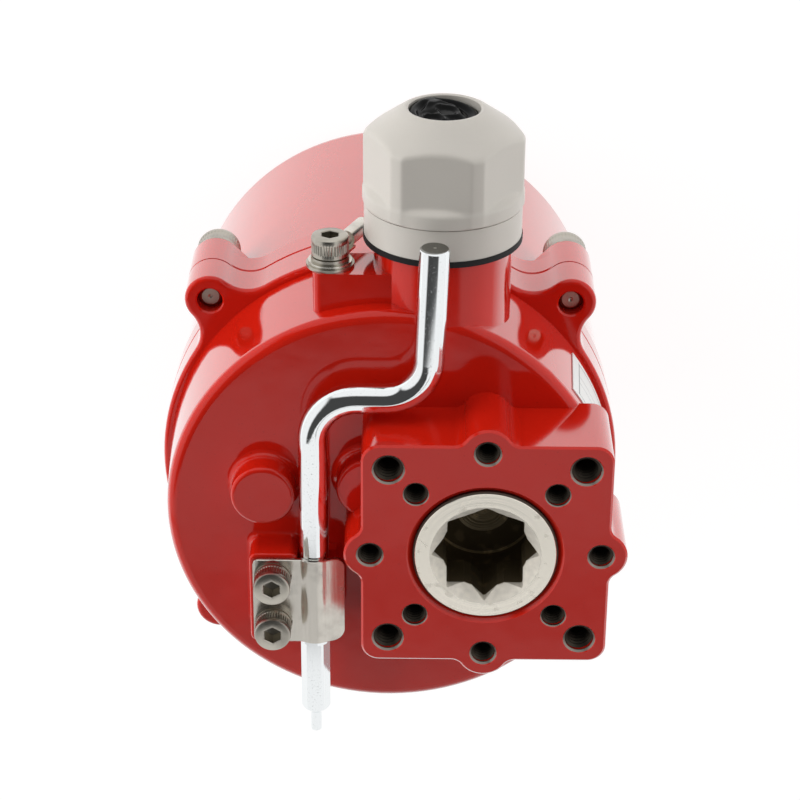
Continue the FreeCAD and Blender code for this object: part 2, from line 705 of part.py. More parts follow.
def add_ears(piece, bottom, height):
    """Four screw ears whose sides run into the rim in a hollow blend."""
    ear = piece.pad([circle(size.ear_radius, size.ear_spread, size.ear_spread)], bottom, height, x=middle)
    piece.ring(4, ear, about=ear)
    spread, radius, rim = size.ear_spread.number, size.ear_radius.number, size.rim_radius.number

    def meets_rim(edge):
        here = edge.valueAt(edge.FirstParameter)
        x, y = abs(here.x - middle.number), abs(here.y)
        on_ear = abs(math.hypot(x - spread, y - spread) - radius) < NEAR
        return on_ear and abs(math.hypot(x, y) - rim) < NEAR and is_upright(edge, (here.x, here.y))

    piece.round(size.ear_blend, meets_rim)
    return ear


def base_housing():
    """The casting with the mounting pad: round body, ears, gland neck, bosses and bearing seats."""
    piece = Piece("base_housing")

    # Mounting pad: a square with four lobes
    half = size.flange_side / 2
    bottom = disc - size.disc_round
    piece.pad([box(-half, -half, half, half, size.flange_corner)], bottom, -bottom)
    lobe = piece.pad([circle(size.lobe_radius, size.lobe_distance)], bottom, -bottom)
    piece.ring(4, lobe)
    step = half - size.lobe_distance
    reach = square_root(size.lobe_radius * size.lobe_radius - step * step)
    notches = corners_of(half, reach) + corners_of(reach, half)
    piece.round(size.lobe_blend, lambda edge: is_upright(edge, *notches))
    piece.bevel(size.flange_edge, lambda edge: at_level(edge, as_size(0)))

    # Round body with its rim and ears
    piece.turned(
        (0, disc),
        (size.disc_radius, disc, size.disc_round),
        (size.wall_radius, -size.rim_depth),
        (size.rim_radius, -size.rim_depth),
        (size.rim_radius, split),
        (0, split),
        x=middle,
    )
    ear = add_ears(piece, split, size.split_depth - size.rim_depth)
    piece.bevel(size.seam_bevel, lambda edge: at_level(edge, split))
    foot, rim = size.wall_radius.number + NEAR, -size.rim_depth
    piece.round(size.rim_round, lambda edge: at_level(edge, rim) and distance_from(edge, middle, 0) > foot)

    # Gland neck and earth block on the +Y side
    start = size.hidden_root
    neck = [circle(size.neck_radius, size.gland_x, -size.gland_depth)]
    piece.pad(neck, -size.neck_end, size.neck_end - start, plane="XZ_Plane")
    block = [box(-size.earth_block_left, -size.earth_block_back, size.gland_x, -size.earth_block_front)]
    piece.pad(block, -size.earth_face, size.earth_face - start, plane="XZ_Plane")
    left = -size.earth_block_left
    levels = -size.earth_block_front, -size.earth_block_back
    piece.round(size.earth_block_corner, lambda edge: any(runs_along(edge, left, level) for level in levels))

    # Round bosses over the gear shafts
    height = size.boss_height + size.overlap
    for x, y in ((second_x, second_y), (first_x, first_y)):
        piece.pad([circle(size.boss_radius)], disc - size.overlap, height, x=x, y=y)
        piece.round(size.boss_foot, lambda edge: is_round(edge, disc, size.boss_radius, x, y))
        top = disc + size.boss_height
        piece.round(size.boss_edge, lambda edge: is_round(edge, top, size.boss_radius, x, y))

    # Seat of the crank clip, and the rest under the crank's rod
    margin = size.clip_pad_margin
    seat_right = size.crank_leg_x - size.rod_radius - size.side_clearance
    seat = size.clip_left - margin, size.clip_lower - margin, seat_right, size.clip_upper + margin
    low = disc - size.overlap
    piece.pad([box(*seat, size.seat_corner)], low, size.disc_depth + size.overlap - size.clip_top)
    piece.round(size.seat_edge, lambda edge: at_level(edge, -size.clip_top) and is_within(edge, *seat))
    piece.round(size.seat_foot, lambda edge: at_level(edge, disc) and is_within(edge, *seat))
    half_rest = size.rest_width / 2
    rest = box(
        size.crank_leg_x - half_rest,
        size.clip_lower + size.overlap,
        size.crank_leg_x + half_rest,
        size.clip_upper - size.overlap,
    )
    rest_top = -(size.rod_depth + size.rod_radius + size.rod_clearance)
    piece.pad([rest], low, rest_top - low)

    # Hollow inside, with the sleeve's boss and the pillars of the gear plate
    piece.pocket([circle(size.cavity_radius)], ceiling, ceiling - split, x=middle)
    boss = ceiling + size.bearing_depth + size.overlap
    piece.pad([circle(size.sleeve_boss_radius)], -size.bearing_depth, boss)
    pillar = ceiling + size.plate_depth + size.overlap
    for x, y in pillar_places():
        piece.pad([circle(size.pillar_radius)], -size.plate_depth, pillar, x=middle + x, y=y)
        depth = size.pillar_thread + size.overlap
        piece.drilled(middle + x, y, -size.plate_depth, size.plate_screw_radius, depth, 1)
    groove_half = size.seal_section
    piece.bored(
        (size.seal_circle - groove_half, split - size.overlap),
        (size.seal_circle + groove_half, split - size.overlap),
        (size.seal_circle + groove_half, split + 2 * groove_half),
        (size.seal_circle - groove_half, split + 2 * groove_half),
        x=middle,
    )

    # Bearing of the sleeve, blind bearings of the gear shafts
    bore = size.sleeve_radius + size.running_clearance
    piece.bored(
        (0, size.overlap),
        (bore + size.sleeve_mouth + size.overlap, size.overlap),
        (bore, -size.sleeve_mouth),
        (bore, -size.bearing_depth - size.overlap),
        (0, -size.bearing_depth - size.overlap),
    )
    journal = size.journal_radius + size.running_clearance
    for x, y in ((second_x, second_y), (first_x, first_y)):
        piece.pocket([circle(journal)], boss_bore, boss_bore - ceiling + size.overlap, x=x, y=y)

    # Holes of the three bolt circles
    for across, radius, angle, mouth in (
        (size.circle_large, size.hole_large, DIAGONAL, size.mouth_wide),
        (size.circle_small, size.hole_small, DIAGONAL, size.hole_chamfer),
        (size.circle_middle, size.hole_small, 0, size.mouth_wide),
    ):
        x, y = across / 2 * cosine(angle), across / 2 * sine(angle)
        piece.ring(4, piece.drilled(x, y, 0, radius, size.hole_depth, mouth=mouth))

    # Tapped holes of the ears and of the clip, cable bore and earth screw
    hole = piece.drilled(
        middle + size.ear_spread, size.ear_spread, rim, size.cover_screw_radius, size.split_depth
    )
    piece.ring(4, hole, about=ear)
    for y in (size.clip_screw_y, size.clip_screw_y - size.clip_screw_pitch):
        piece.drilled(size.clip_screw_x, y, -size.clip_top, size.small_thread_radius, size.small_thread_depth)
    bore = [circle(size.gland_thread_radius, size.gland_x, -size.gland_depth)]
    piece.pocket(bore, -start, size.neck_end - start + size.overlap, plane="XZ_Plane")
    bottom = size.earth_face - size.small_thread_depth - size.overlap
    bore = [circle(size.small_thread_radius, size.earth_x, -size.earth_depth)]
    piece.pocket(bore, -bottom, size.earth_face, plane="XZ_Plane")
    return finish(piece)


def top_cover():
    """The cup over motor and gears, with screw posts, indicator window and crank port."""
    piece = Piece("top_cover")
    ledge = split - size.cover_rim
    piece.turned(
        (0, split),
        (size.rim_radius, split),
        (size.rim_radius, ledge),
        (size.cover_wall_radius, ledge),
        (size.cover_end_radius, -size.total_height, size.cover_round),
        (0, -size.total_height),
        x=middle,
    )
    ear = add_ears(piece, ledge, size.cover_rim)
    piece.bevel(size.seam_bevel, lambda edge: at_level(edge, split))
    post_length = size.ear_depth - size.split_depth
    post = [circle(size.ear_radius, size.ear_spread, size.ear_spread)]
    post = piece.pad(post, -size.ear_depth, post_length, x=middle)
    slant = cosine(DIAGONAL)
    near, far, half = size.cavity_radius + size.overlap, size.ear_spread / slant, size.ear_radius
    web = outline(*[
        ((along - across) * slant, (along + across) * slant)
        for along, across in ((near, -half), (far, -half), (far, half), (near, half))
    ])
    web = piece.pad([web], -size.ear_depth, post_length, x=middle)
    piece.ring(4, post, web, about=ear)
    piece.pocket([circle(size.cavity_radius)], split, split - cover_floor, x=middle)
    hole = [circle(size.cover_hole_radius, size.ear_spread, size.ear_spread)]
    hole = piece.pocket(hole, split + size.overlap, size.total_height, x=middle)
    piece.ring(4, hole, about=ear)

    # Window over the indicator with the tapped holes of its retainer, and the crank's port
    piece.pocket([circle(size.window_opening)], cover_floor + size.overlap, 2 * size.cover_end_wall)
    for x, y in retainer_places():
        piece.drilled(x, y, cover_floor, size.tiny_thread_radius, size.tiny_thread_depth)
    port = {"x": first_x, "y": first_y}
    piece.pocket([circle(size.port_radius)], cover_floor + size.overlap, 2 * size.cover_end_wall, **port)
    rebate = size.port_rebate - size.total_height
    piece.pocket([circle(size.port_rebate_radius)], rebate, size.port_rebate + size.overlap, **port)
    return finish(piece)


def retainer_places():
    for angle in RETAINER_ANGLES:
        yield size.retainer_circle * cosine(angle), size.retainer_circle * sine(angle)


def screw(name, place, shank, length, head, height, key):
    """A socket head cap screw; its seat is at the place and its head points along its own Z."""
    piece = Piece(name, *place)
    edge = size.screw_edge
    piece.turned(
        (0, height),
        (head, height, edge),
        (head, 0),
        (shank, 0),
        (shank, edge - length),
        (shank - edge, -length),
        (0, -length),
    )
    piece.pocket([hexagon(key)], height, size.socket_share * height)
    return piece


def flat_screw(name, place, shank, length, head):
    """A countersunk screw with its flat head at the place and its shank against its own Z."""
    piece = Piece(name, *place)
    piece.turned((0, 0), (head, 0), (shank, shank - head), (shank, -length), (0, -length))
    depth = size.flat_socket_share * (head - shank) + size.screw_edge
    piece.pocket([hexagon(size.flat_key_share * shank)], 0, depth)
    return piece


def spring_washer(name, place, inner, outer, thickness):
    """A flat ring with a cut through it."""
    piece = Piece(name, *place)
    piece.pad([circle(outer), circle(inner)], 0, thickness)
    cut, reach = size.washer_cut, outer + size.overlap
    slit = outline((0, -cut / 2), (reach, 0), (reach, cut), (0, cut / 2))
    piece.pocket([slit], thickness, thickness)
    return piece


def cover_fasteners():
    """The four cover screws from below, with their spring washers, and the cover's seal."""
    seat = -(size.ear_depth + size.spring_washer_thickness)
    length = -seat - size.rim_depth - size.cover_screw_reach
    shank = size.cover_screw_radius - size.thread_clearance
    screws, washers = [], []
    for x, y in ear_places():
        place = x, y
        screws.append(screw(
            "cover_screw", (*place, seat, DOWN), shank, length,
            size.cover_head_radius, size.cover_head_height, size.cover_key,
        ))
        washers.append(spring_washer(
            "cover_spring_washer", (*place, seat), shank + size.side_clearance, size.cover_head_radius,
            size.spring_washer_thickness,
        ))
    group("cover_screws", screws)
    group("cover_spring_washers", washers)
    seal = Piece("cover_seal")
    section = size.seal_section - size.seat_clearance
    seal.spin([circle(section, size.seal_circle, split + size.seal_section)], x=middle)
    finish(seal)


def window():
    """The indicator window, its seal, and the stepped ring with three screws that holds it."""
    seal = Piece("window_seal", z=cover_floor)
    inner = size.window_opening + size.small_gap
    seal.pad([circle(size.window_flange), circle(inner)], 0, size.window_seal_thickness)
    finish(seal)

    pane = Piece("indicator_window", z=cover_floor + size.window_seal_thickness)
    plug = size.window_opening - size.small_gap
    recess = size.small_gap - size.cover_end_wall - size.window_seal_thickness
    pane.turned(
        (0, size.window_thickness),
        (size.window_flange, size.window_thickness),
        (size.window_flange, 0),
        (plug, 0),
        (plug, recess, size.screw_edge),
        (0, recess),
    )
    finish(pane)

    ring = Piece("window_retainer", z=cover_floor)
    lip = size.window_seal_thickness + size.window_thickness
    top = lip + size.retainer_thickness
    foot = size.window_flange + size.small_gap
    ring.turned(
        (size.window_opening, lip),
        (foot, lip),
        (foot, 0),
        (size.retainer_radius, 0),
        (size.retainer_radius, top),
        (size.window_opening, top),
    )
    hole = size.tiny_thread_radius + size.side_clearance
    for x, y in retainer_places():
        ring.pocket([circle(hole)], top, top, x=x, y=y)
    finish(ring)

    shank = size.tiny_thread_radius - size.thread_clearance
    length = top + size.tiny_thread_depth - size.side_clearance
    group("window_retainer_screws", [
        screw("retainer_screw", (x, y, cover_floor + top), shank, length,
              size.tiny_head_radius, size.tiny_head_height, size.tiny_key)
        for x, y in retainer_places()
    ])

    plug = Piece("manual_port_plug", first_x, first_y, -size.total_height)
    head = size.port_rebate_radius - size.small_gap
    stem = size.port_radius - size.thread_clearance
    lip = size.cover_end_wall + size.thread_clearance
    plug.turned(
        (0, size.small_gap),
        (head, size.small_gap, size.screw_edge),
        (head, size.port_rebate),
        (stem, size.port_rebate),
        (stem, lip),
        (stem + size.screw_edge, lip),
        (stem, lip + size.overlap),
        (0, lip + size.overlap),
    )
    finish(plug)


def side_label():
    """A blank sticker that follows the housing's tapered wall."""
    turn = FreeCAD.Rotation(FreeCAD.Vector(0, 0, 1), size.label_start.number)
    piece = Piece("side_label", x=middle, rotation=turn)
    slope = (size.wall_radius - size.disc_radius) / (size.rim_depth - size.disc_depth)
    low = size.label_top + size.label_height
    top_radius = size.disc_radius + slope * (size.label_top - size.disc_depth)
    low_radius = size.disc_radius + slope * (low - size.disc_depth)
    piece.turned(
        (top_radius, -size.label_top),
        (top_radius + size.label_thickness, -size.label_top),
        (low_radius + size.label_thickness, -low),
        (low_radius, -low),
        angle=size.label_sweep,
    )
    finish(piece)


def drive_sleeve():
    """The output sleeve: bearing, collar, gear seat and the double square for the valve's stem."""
    piece = Piece("drive_sleeve")
    top = -size.sleeve_recess
    edge = size.screw_edge
    circlip_end = gear_bottom - size.circlip_thickness - size.seat_clearance
    ring_level, ring_half = -size.ring_depth, size.ring_section + size.seat_clearance
    ring_seat = size.sleeve_radius - 2 * ring_half
    piece.turned(
        (0, top),
        (size.sleeve_radius - edge, top),
        (size.sleeve_radius, top - edge),
        (size.sleeve_radius, ring_level + ring_half),
        (ring_seat, ring_level + ring_half),
        (ring_seat, ring_level - ring_half),
        (size.sleeve_radius, ring_level - ring_half),
        (size.sleeve_radius, collar_top),
        (size.collar_radius, collar_top),
        (size.collar_radius, gear_top),
        (size.seat_radius, gear_top),
        (size.seat_radius, gear_bottom),
        (size.circlip_seat, gear_bottom),
        (size.circlip_seat, circlip_end),
        (size.seat_radius, circlip_end),
        (size.seat_radius, sleeve_end + edge),
        (size.seat_radius - edge, sleeve_end),
        (0, sleeve_end),
    )
    half = size.star_side / 2
    depth = size.star_depth + size.overlap
    piece.pocket([box(-half, -half, half, half, size.star_corner)], top, depth)
    corner = 2 * half * cosine(45)
    turned = [(corner, 0), (0, corner), (-corner, 0), (0, -corner)]
    piece.pocket([outline(*[(x, y, size.star_corner) for x, y in turned])], top, depth)
    relief = corner + size.corner_gap
    piece.bored(
        (0, top + size.overlap),
        (relief, top + size.overlap),
        (relief, top),
        (size.star_bore, top - size.star_lead),
        (size.star_bore, top - size.star_depth),
        (relief, top - size.star_depth),
        (relief, -size.relief_depth),
        (0, -size.relief_depth),
    )
    spigot = size.camshaft_spigot + size.seat_clearance
    seat = sleeve_end + size.spigot_length + size.side_clearance
    piece.pocket([circle(spigot)], seat, 2 * size.spigot_length)
    key_half = size.key_width / 2 + size.seat_clearance
    keyway = box(size.seat_radius - size.key_width / 2, -key_half, size.collar_radius, key_half)
    piece.pocket([keyway], gear_top, size.output_width)
    finish(piece)

    ring = Piece("sleeve_o_ring")
    ring.spin([circle(size.ring_section, size.sleeve_radius - ring_half, ring_level)])
    finish(ring)

    key = Piece("output_key")
    half, start = size.key_width / 2, size.seat_radius - size.key_width / 2 + size.seat_clearance
    key.pad([box(start, -half, start + size.key_width, half)], gear_bottom, size.output_width)
    finish(key)

    circlip = Piece("gear_circlip")
    inner = size.circlip_seat + size.seat_clearance
    thickness = size.circlip_thickness
    circlip.pad([circle(size.circlip_radius), circle(inner)], gear_bottom - thickness, thickness)
    half = size.washer_cut
    gap = box(0, -half, size.circlip_radius + size.overlap, half)
    circlip.pocket([gap], gear_bottom, thickness)
    finish(circlip)


def add_teeth(piece, module, teeth, width, level):
    """Involute-like teeth, three stations high, round the body's Z axis; the first points along X."""
    pitch = module * teeth / 2
    root = pitch - size.dedendum * module
    tip = pitch + size.addendum * module
    half_pitch = (math.pi / 4 - size.backlash) * module
    half_root = half_pitch * root / pitch
    half_tip = half_pitch - size.tooth_taper * module
    inside = root - size.overlap * module / 2
    points = [(inside, -half_root), (root, -half_root), (pitch, -half_pitch), (tip, -half_tip)]
    points += [(x, -y) for x, y in reversed(points)]
    tooth = piece.pad([outline(*points)], level, width)
    piece.ring(teeth, tooth)
    return piece


def wheel(name, x, y, level, module, teeth, width, bore, phase, hub=0):
    """A toothed wheel, with a hub towards the mounting face where one is needed."""
    turn = FreeCAD.Rotation(FreeCAD.Vector(0, 0, 1), phase)
    piece = Piece(name, x, y, rotation=turn)
    root = module * teeth / 2 - size.dedendum * module
    piece.pad([circle(root), circle(bore)], level, width)
    add_teeth(piece, module, teeth, width, level)
    if hub:
        piece.pad([circle(size.hub_radius), circle(bore)], level + width, hub)
    return finish(piece)


def mate_phase(direction, teeth, lead=0):
    """The turn that puts a gap where the mate's tooth points, or points lead degrees further on."""
    return direction.number + 180 + (180 - lead) / teeth.number


def gear_train():
    """Output gear, two compound gears and the motor pinion, each tooth in its mate's gap."""
    bore = size.seat_radius + size.seat_clearance
    output = wheel(
        "output_gear", 0, 0, gear_bottom, size.output_module, size.output_teeth, size.output_width, bore, 0
    )
    half = size.key_width / 2 + size.seat_clearance
    key_top = size.seat_radius + size.key_width / 2 + size.thread_clearance
    keyway = box(size.seat_radius - size.overlap, -half, key_top, half)
    output.pocket([keyway], gear_top, size.output_width)

    # Second shaft: a pinion with journals in the housing and in the plate
    journal, shoulder = size.journal_radius, size.shaft_shoulder
    shaft_top, shaft_end = boss_bore - size.side_clearance, plate_back
    module, teeth = size.output_module, size.second_pinion_teeth
    root = module * teeth / 2 - size.dedendum * module
    pinion_top, pinion_end = gear_top + size.side_clearance, gear_bottom - size.pinion_extra
    pitch = 360 / size.output_teeth.number
    tooth = round(size.second_angle.number / pitch) * pitch
    lead = (tooth - size.second_angle.number) * size.output_teeth.number
    turn = FreeCAD.Rotation(FreeCAD.Vector(0, 0, 1), mate_phase(size.second_angle, teeth, lead))
    piece = Piece("second_pinion", second_x, second_y, rotation=turn)
    thrust = ceiling - size.side_clearance
    piece.turned(
        (0, shaft_top),
        (journal, shaft_top),
        (journal, thrust),
        (shoulder, thrust),
        (shoulder, pinion_top),
        (root, pinion_top),
        (root, pinion_end),
        (shoulder + size.overlap, pinion_end),
        (shoulder + size.overlap, -size.second_level),
        (shoulder, -size.second_level),
        (shoulder, -wheel_gap),
        (journal, -wheel_gap),
        (journal, shaft_end),
        (0, shaft_end),
    )
    finish(add_teeth(piece, module, teeth, pinion_top - pinion_end, pinion_end))
    level = -(size.second_level + size.wheel_width)
    wheel(
        "second_wheel", second_x, second_y, level, size.second_module, size.second_teeth, size.wheel_width,
        shoulder + size.seat_clearance, size.first_angle.number,
    )

    # First shaft: its pinion, the seat of its wheel, and the socket for the hand crank
    module, teeth = size.second_module, size.first_pinion_teeth
    root = module * teeth / 2 - size.dedendum * module
    pinion_top = size.pinion_extra - size.second_level
    pinion_end = pinion_top - size.wheel_width - 2 * size.pinion_extra
    turn = FreeCAD.Rotation(FreeCAD.Vector(0, 0, 1), mate_phase(size.first_angle, teeth))
    piece = Piece("manual_shaft", first_x, first_y, rotation=turn)
    manual_end = size.manual_inset - size.total_height
    neck = shoulder - size.side_clearance
    piece.turned(
        (0, shaft_top),
        (journal, shaft_top),
        (journal, thrust),
        (neck, thrust),
        (neck, pinion_top),
        (root, pinion_top),
        (root, pinion_end),
        (size.manual_radius, pinion_end),
        (size.manual_radius, manual_end + size.screw_edge),
        (size.manual_radius - size.screw_edge, manual_end),
        (0, manual_end),
    )
    add_teeth(piece, module, teeth, pinion_top - pinion_end, pinion_end)
    depth = size.socket_depth
    piece.pocket([hexagon(size.crank_key + size.small_gap)], manual_end + depth, 2 * depth)
    pin = size.crank_pin_radius + size.small_gap
    piece.pocket([circle(pin)], manual_end + depth + 2 * size.wheel_width, 2 * depth)
    finish(piece)
    level = -(size.first_level + size.wheel_width)
    wheel(
        "first_wheel", first_x, first_y, level, size.first_module, size.first_teeth, size.wheel_width,
        size.manual_radius + size.seat_clearance, size.motor_angle.number,
        pinion_end + size.first_level,
    )

    # Motor pinion on the shaft that leaves the gearhead
    extra = size.pinion_extra
    level -= extra
    width = size.wheel_width + 2 * extra
    wheel(
        "motor_pinion", motor_x, motor_y, level, size.first_module, size.motor_pinion_teeth, width,
        size.motor_shaft_radius + size.seat_clearance, mate_phase(size.motor_angle, size.motor_pinion_teeth),
    )
    shaft = Piece("motor_shaft", motor_x, motor_y)
    end = plate_back - size.shaft_engagement + size.side_clearance
    shaft.pad([circle(size.motor_shaft_radius)], end, level + width - end)
    finish(shaft)


def gear_plate():
    """The plate that closes the gear space, its screws and the bronze bush of the indicator shaft."""
    piece = Piece("gear_plate")
    piece.pad([circle(size.plate_radius, middle)], plate_back, size.plate_thickness)
    top = -size.plate_depth
    running = size.running_clearance
    through = size.plate_thickness + size.overlap
    centre, half = middle - size.notch_shift, size.notch_width / 2
    notch = box(centre - half, size.plate_notch, centre + half, size.rim_radius)
    piece.pocket([notch], top, through)
    for x, y, radius in (
        (0, 0, size.bush_radius + size.seat_clearance),
        (second_x, second_y, size.journal_radius + running),
        (first_x, first_y, size.manual_radius + running),
        (motor_x, motor_y, size.motor_pinion_hole),
    ):
        piece.pocket([circle(radius)], top, through, x=x, y=y)
    hole = size.plate_screw_radius + size.side_clearance
    for x, y in pillar_places():
        piece.pocket([circle(hole)], top, through, x=middle + x, y=y)
    hole = size.tiny_thread_radius + size.side_clearance
    for x, y in gearhead_screw_places():
        piece.bored(
            (0, top),
            (size.tiny_head_radius + size.small_gap, top),
            (hole, top - size.tiny_head_radius + hole),
            (hole, plate_back),
            (0, plate_back),
            x=x,
            y=y,
        )
    stud = size.stud_radius + size.thread_clearance
    for x, y in post_places():
        piece.pocket([circle(stud)], top, through, x=x, y=y)
    for x in bracket_screw_places():
        piece.pocket([circle(size.tiny_thread_radius)], top, through, x=x, y=size.bracket_screw_y)
    finish(piece)

    shank = size.plate_screw_radius - size.thread_clearance
    length = size.plate_thickness + size.pillar_thread
    group("gear_plate_screws", [
        screw("plate_screw", (middle + x, y, plate_back, DOWN), shank, length,
              size.small_head_radius, size.small_head_height / 2, size.small_key)
        for x, y in pillar_places()
    ])

    bush = Piece("output_bush", z=top)
    bore = size.camshaft_radius + running
    bush.turned(
        (bore, size.overlap),
        (size.bush_flange, size.overlap),
        (size.bush_flange, 0),
        (size.bush_radius, 0),
        (size.bush_radius, -size.plate_thickness),
        (bore, -size.plate_thickness),
    )
    finish(bush)


def gearhead_screw_places():
    reach = size.gearhead_screw_circle
    for angle in GEARHEAD_SCREW_ANGLES:
        yield gearhead_x + reach * cosine(angle), gearhead_y + reach * sine(angle)


def post_places():
    half = size.board_length / 2 - size.post_inset
    yield middle - half, size.board_y + size.overlap
    yield middle + half, size.board_y + size.overlap
    yield middle, size.board_y - size.post_shift


def bracket_screw_places():
    for side in (-1, 1):
        yield side * size.switch_screw_x


def indicator_drive():
    """The shaft from the sleeve to the window, with two limit cams and the position pointer."""
    shaft = Piece("cam_shaft")
    collar = size.bush_flange - size.seat_clearance - 2 * size.overlap
    collar_end = -size.plate_depth + size.overlap + size.side_clearance
    end = size.indicator_gap - size.total_height
    shaft.turned(
        (0, sleeve_end + size.spigot_length),
        (size.camshaft_spigot, sleeve_end + size.spigot_length),
        (size.camshaft_spigot, sleeve_end),
        (collar, sleeve_end),
        (collar, collar_end),
        (size.camshaft_radius, collar_end),
        (size.camshaft_radius, end),
        (0, end),
    )
    finish(shaft)
    bore = size.camshaft_radius + size.seat_clearance
    for name, depth, angle in (
        ("open_cam", size.open_cam_depth, size.open_cam_angle),
        ("closed_cam", size.open_cam_depth + size.cam_pitch, size.closed_cam_angle),
    ):
        turn = FreeCAD.Rotation(FreeCAD.Vector(0, 0, 1), angle.number)
        cam = Piece(name, rotation=turn)
        level = -(depth + size.cam_thickness)
        cam.pad([circle(size.cam_radius)], level, size.cam_thickness)
        cam.pad([circle(size.cam_bump, size.cam_reach - size.cam_bump)], level, size.cam_thickness)
        cam.pocket([circle(bore)], level + size.cam_thickness, size.cam_thickness)
        finish(cam)
    disc_piece = Piece("position_indicator", z=end)
    disc_piece.pad([circle(size.indicator_radius)], -size.indicator_thickness, size.indicator_thickness)
    half, reach = size.camshaft_radius / 2, size.indicator_radius - size.overlap
    bar = box(-reach, -half, reach, half)
    disc_piece.pad([bar], -size.indicator_thickness - size.overlap, size.overlap)
    finish(disc_piece)


def limit_switches():
    """Two limit switches on both sides of a bracket's shelf, with the screws through them."""
    half = size.switch_length / 2
    back, front = -(size.switch_gap + size.switch_height), -size.switch_gap
    shelf = size.bracket_thickness
    cam_middle = size.open_cam_depth + size.cam_thickness / 2 + size.cam_pitch / 2
    screw_y = (back + front) / 2
    switches = []
    for side in (-1, 1):
        centre = side * (shelf + size.switch_width) / 2 - cam_middle
        piece = Piece("limit_switch", z=centre)
        low = -size.switch_width / 2
        piece.pad([box(-half, back, half, front)], low, size.switch_width)
        tip = front - size.overlap + size.plunger_length
        piece.pad([circle(size.plunger_radius)], -tip, size.plunger_length, plane="XZ_Plane")
        for x in bracket_screw_places():
            piece.pocket([circle(size.tiny_thread_radius)], -low, size.switch_width, x=x, y=screw_y)
        switches.append(piece)
    group("limit_switches", switches)

    bracket = Piece("switch_bracket")
    half = size.bracket_width / 2
    foot = plate_back - shelf
    shelf_top = shelf / 2 - cam_middle
    web = back - size.small_gap
    front_edge = front - size.overlap
    section = outline(
        (web - shelf - size.bracket_foot, plate_back),
        (web, plate_back),
        (web, shelf_top),
        (front_edge, shelf_top),
        (front_edge, shelf_top - shelf),
        (web - shelf, shelf_top - shelf),
        (web - shelf, foot),
        (web - shelf - size.bracket_foot, foot),
    )
    bracket.pad([section], -half, size.bracket_width, plane="YZ_Plane")
    for x in bracket_screw_places():
        foot_hole = [circle(size.tiny_thread_radius + size.small_gap)]
        bracket.pocket(foot_hole, plate_back, shelf, x=x, y=size.bracket_screw_y)
        bracket.pocket([circle(size.tiny_thread_radius)], shelf_top, shelf, x=x, y=screw_y)
    finish(bracket)

    shank = size.tiny_thread_radius - size.thread_clearance
    pieces = []
    for x in bracket_screw_places():
        pieces.append(screw(
            "bracket_screw", (x, size.bracket_screw_y, foot, DOWN), shank,
            size.plate_thickness + shelf - size.side_clearance,
            size.tiny_head_radius, size.tiny_head_height, size.tiny_key,
        ))
        outer = shelf_top + size.switch_width
        pieces.append(screw(
            "switch_screw", (x, screw_y, outer), shank, shelf + 2 * size.switch_width,
            size.switch_head_radius, size.tiny_head_height / 2, size.slim_key,
        ))
    group("switch_screws", pieces)


def motor():
    """The synchronous motor with its gearhead, the screws into it, and the run capacitor."""
    gearhead = Piece("gearhead", gearhead_x, gearhead_y, plate_back)
    round_edge = size.overlap
    end = -size.gearhead_length
    gearhead.turned((0, 0), (size.gearhead_radius, 0), (size.gearhead_radius, end, round_edge), (0, end))
    bore = size.motor_shaft_radius + size.running_clearance
    shaft_x, shaft_y = motor_x - gearhead_x, motor_y - gearhead_y
    gearhead.pocket([circle(bore)], 0, size.shaft_engagement, x=shaft_x, y=shaft_y)
    depth = size.gearhead_screw - size.plate_thickness + size.side_clearance
    for x, y in gearhead_screw_places():
        x, y = x - gearhead_x, y - gearhead_y
        gearhead.pocket([circle(size.tiny_thread_radius)], 0, depth, x=x, y=y)
    finish(gearhead)

    can = Piece("motor_can", gearhead_x, gearhead_y, plate_back + end)
    length = -size.motor_length
    boss = size.motor_boss_radius
    can.turned(
        (0, 0),
        (size.motor_radius, 0),
        (size.motor_radius, length, size.can_round),
        (boss, length),
        (boss, length - size.motor_boss),
        (0, length - size.motor_boss),
    )
    finish(can)

    shank = size.tiny_thread_radius - size.thread_clearance
    group("motor_screws", [
        flat_screw(
            "motor_screw", (x, y, -size.plate_depth), shank, size.gearhead_screw, size.tiny_head_radius
        )
        for x, y in gearhead_screw_places()
    ])

    capacitor = Piece("run_capacitor", size.capacitor_x, size.capacitor_y, plate_back)
    radius, end = size.capacitor_radius, -size.capacitor_length
    capacitor.turned((0, 0), (radius, 0), (radius, end, size.can_round), (0, end))
    finish(capacitor)


